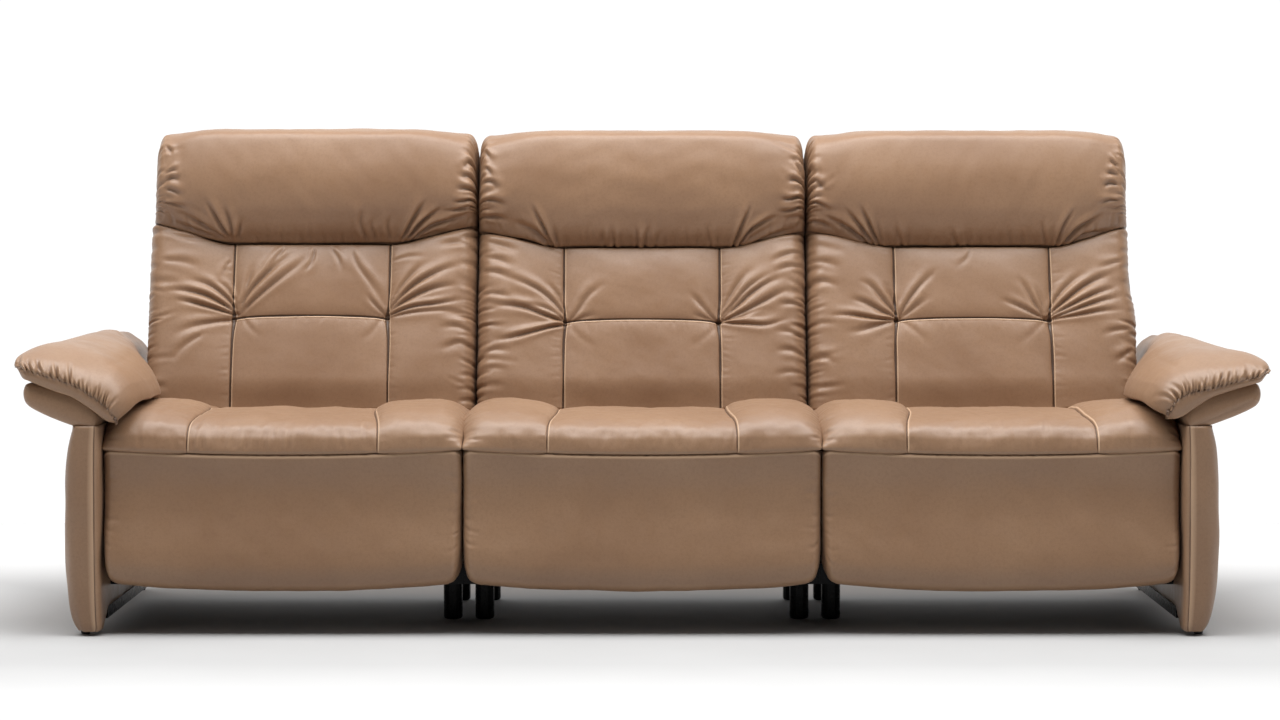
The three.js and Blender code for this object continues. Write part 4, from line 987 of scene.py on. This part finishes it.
def lacquer():
    """Satin black lacquer with faint waviness, dust and fine rubbing."""
    n = Finish("black_lacquer_finish")
    dust = n.spread(n.noise(240.0, 5.0, 0.7), 0.55, 0.8, 0.0, 0.10)
    n.set(Base_Color=n.mix(dust, linear(10, 9, 9), linear(52, 48, 45)),
          Roughness=n.spread(n.noise(60.0, 4.0), 0.3, 0.7, 0.22, 0.34), IOR=1.42, Specular_IOR_Level=0.12)
    n.bump((n.noise(26.0, 2.0), 0.06, 0.001))
    return n.material


def plastic():
    """Moulded black plastic with a fine spark-eroded texture."""
    n = Finish("black_plastic_finish")
    grain = n.noise(900.0, 3.0, 0.6)
    tone = n.mix(n.spread(n.noise(30.0), 0.3, 0.7), linear(20, 20, 21), linear(34, 33, 33))
    n.set(Base_Color=tone, Roughness=n.spread(grain, 0.3, 0.7, 0.42, 0.60))
    n.bump((grain, 0.25, 0.0004))
    return n.material


def plywood():
    """Birch ply: a face grain along X, with streaks, pores and thin dark rays."""
    n = Finish("wood_panel_finish")
    run = n.stretched(1.2, 14.0, 14.0)
    bands = n.spread(n.noise(5.0, 6.0, 0.6, run), 0.3, 0.7)
    streaks = n.spread(n.noise(26.0, 5.0, 0.7, run), 0.35, 0.7)
    tone = n.mix(bands, linear(186, 148, 103), linear(214, 181, 137))
    tone = n.mix(n.math("MULTIPLY", streaks, 0.45), tone, linear(150, 108, 68))
    pores = n.spread(n.noise(190.0, 2.0, 0.5, n.stretched(0.35, 4.0, 4.0)), 0.62, 0.72)
    tone = n.mix(n.math("MULTIPLY", pores, 0.5), tone, linear(96, 66, 40))
    n.set(Base_Color=tone, Roughness=n.spread(streaks, 0.0, 1.0, 0.52, 0.70))
    n.bump((streaks, 0.20, 0.0006), (pores, 0.30, 0.0003))
    return n.material


def zinc():
    """Bright zinc plate over steel: a fine crystalline mottle and rolled streaks."""
    n = Finish("zinc_steel_finish")
    spangle = n.cells(160.0, "F1")
    streak = n.noise(90.0, 4.0, 0.6, n.stretched(8.0, 1.0, 1.0))
    tone = n.mix(n.spread(spangle, 0.0, 0.7), linear(150, 152, 155), linear(188, 189, 190))
    tone = n.mix(n.spread(streak, 0.4, 0.7, 0.0, 0.35), tone, linear(120, 121, 124))
    n.set(Base_Color=tone, Metallic=1.0, Roughness=n.spread(streak, 0.3, 0.7, 0.24, 0.42))
    n.bump((streak, 0.08, 0.0004), (spangle, 0.05, 0.0004))
    return n.material


LOOKS = {"tan_leather": leather(), "black_lacquer": lacquer(), "black_plastic": plastic(),
         "wood_panel": plywood(), "zinc_steel": zinc()}

# The frame's own pieces keep their shape and get these finishes by their slot
for entry in frame["record"]["subparts"]:
    node = frame["nodes"][entry["node"]]
    node.data.materials.clear()
    node.data.materials.append(LOOKS[entry["material_slot"]])

# Soft pieces of the three seats
for number, side in enumerate(SEATS):
    rng = np.random.default_rng(40 + number)
    soft_piece(back_cushion(side, rng), "tan_leather", f"{side}_back", f"{side}_back_cushion")
    soft_piece(headrest(side, rng), "tan_leather", f"{side}_back", f"{side}_headrest_cushion")
    soft_piece(seat_cushion(side, rng), "tan_leather", "chassis", f"{side}_seat_cushion")
    pad = soft_piece(legrest_pad(side, rng), "tan_leather", None, f"{side}_legrest_pad")
    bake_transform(pad)
    soft_piece(rear_pad(side, rng), "tan_leather", f"{side}_back", f"{side}_rear_pad")
    soft_piece(rear_valance(side, rng), "tan_leather", "chassis", f"{side}_rear_valance")

# Soft pieces of the two arms
for number, (side, sign) in enumerate((("left", -1), ("right", 1))):
    rng = np.random.default_rng(60 + number)
    soft_piece(arm_pad(side, sign, rng), "tan_leather", "chassis", f"{side}_arm_pad")
    soft_piece(arm_wing(side, sign, rng), "tan_leather", "chassis", f"{side}_arm_wing")
    soft_piece(arm_panel(side, sign, rng), "tan_leather", "chassis", f"{side}_arm_panel")


def floor():
    """A pale floor: darker round the sofa as painted shade, and palest behind and beside it as painted light where
    the lamps reach less.
    """
    n = Finish("floor_finish")
    split = n.add("ShaderNodeSeparateXYZ", Vector=n.place).outputs
    beside = n.spread(n.math("ABSOLUTE", split["X"], 0), 1.2, 1.9)
    behind = n.spread(split["Y"], 0.2, 1.0)
    ahead = n.spread(split["Y"], -0.75, -1.15, 0.0, 0.35)
    away = n.math("MAXIMUM", n.math("MAXIMUM", beside, behind), ahead)
    near = n.mix(n.spread(n.noise(3.0), 0.3, 0.7), (0.46, 0.46, 0.46, 1.0), (0.48, 0.48, 0.48, 1.0))
    # Painted light and shade: grey round the sofa, paler further away
    n.set(Base_Color=n.mix(away, near, (0.86, 0.86, 0.86, 1.0)), Roughness=0.9, Specular_IOR_Level=0.1)
    mesh = bpy.data.meshes.new("studio_floor")
    side_x, front_y, rear_y = 6, -6, 1.7
    corners = [(-side_x, front_y, 0), (side_x, front_y, 0), (side_x, rear_y, 0), (-side_x, rear_y, 0)]
    mesh.from_pydata(corners, [], [(0, 1, 2, 3)])
    plane = bpy.data.objects.new("studio_floor", mesh)
    bpy.context.scene.collection.objects.link(plane)
    plane.data.materials.append(n.material)


def softbox(name, place, target, width, height, power):
    data = bpy.data.lights.new(name, "AREA")
    data.shape = "RECTANGLE"
    data.size, data.size_y, data.energy = width, height, power
    lamp = bpy.data.objects.new(name, data)
    bpy.context.scene.collection.objects.link(lamp)
    lamp.location = place
    lamp.rotation_euler = (Vector(target) - Vector(place)).to_track_quat("-Z", "Y").to_euler()


floor()
softbox("light_above", place=(0.0, -0.68, 3.4), target=(0, -0.25, 0.4), width=5.4, height=2.2, power=252)
for name, turn in (("light_left", -1), ("light_right", 1)):
    softbox(name, place=(3.2 * turn, -2.2, 1.9), target=(0.5 * turn, 0, 0.6), width=1.9, height=1.9, power=7)
bpy.context.scene.view_settings.view_transform = "Standard"


def studio_world():
    """A white surround that falls off, above the floor, to a dimmer studio in front of the object."""
    world = bpy.data.worlds.new("studio_world")
    world.use_nodes = True
    n = Nodes(world.node_tree)
    place = n.add("ShaderNodeTexCoord").outputs["Generated"]
    split = n.add("ShaderNodeSeparateXYZ", Vector=place).outputs
    behind = n.spread(split["Y"], -0.1, 0.6, 0.04, 1.05)
    below = n.spread(split["Z"], -0.06, 0.0, 1.05, 0.0)
    background = n.tree.nodes["Background"].inputs
    n.feed(background["Strength"], n.math("MAXIMUM", behind, below))
    n.feed(background["Color"], (1, 1, 1, 1))
    bpy.context.scene.world = world


studio_world()

lens = bpy.data.cameras.new("photo_camera")
lens.sensor_width = 36.0
lens.lens = 87.0
lens.dof.use_dof = False
camera = bpy.data.objects.new("photo_camera", lens)
camera.location = (-0.0039, -6.363, 0.85)
camera.rotation_euler = (math.radians(87.0), 0, 0)
bpy.context.scene.collection.objects.link(camera)
bpy.context.scene.camera = camera

bpy.context.view_layer.update()
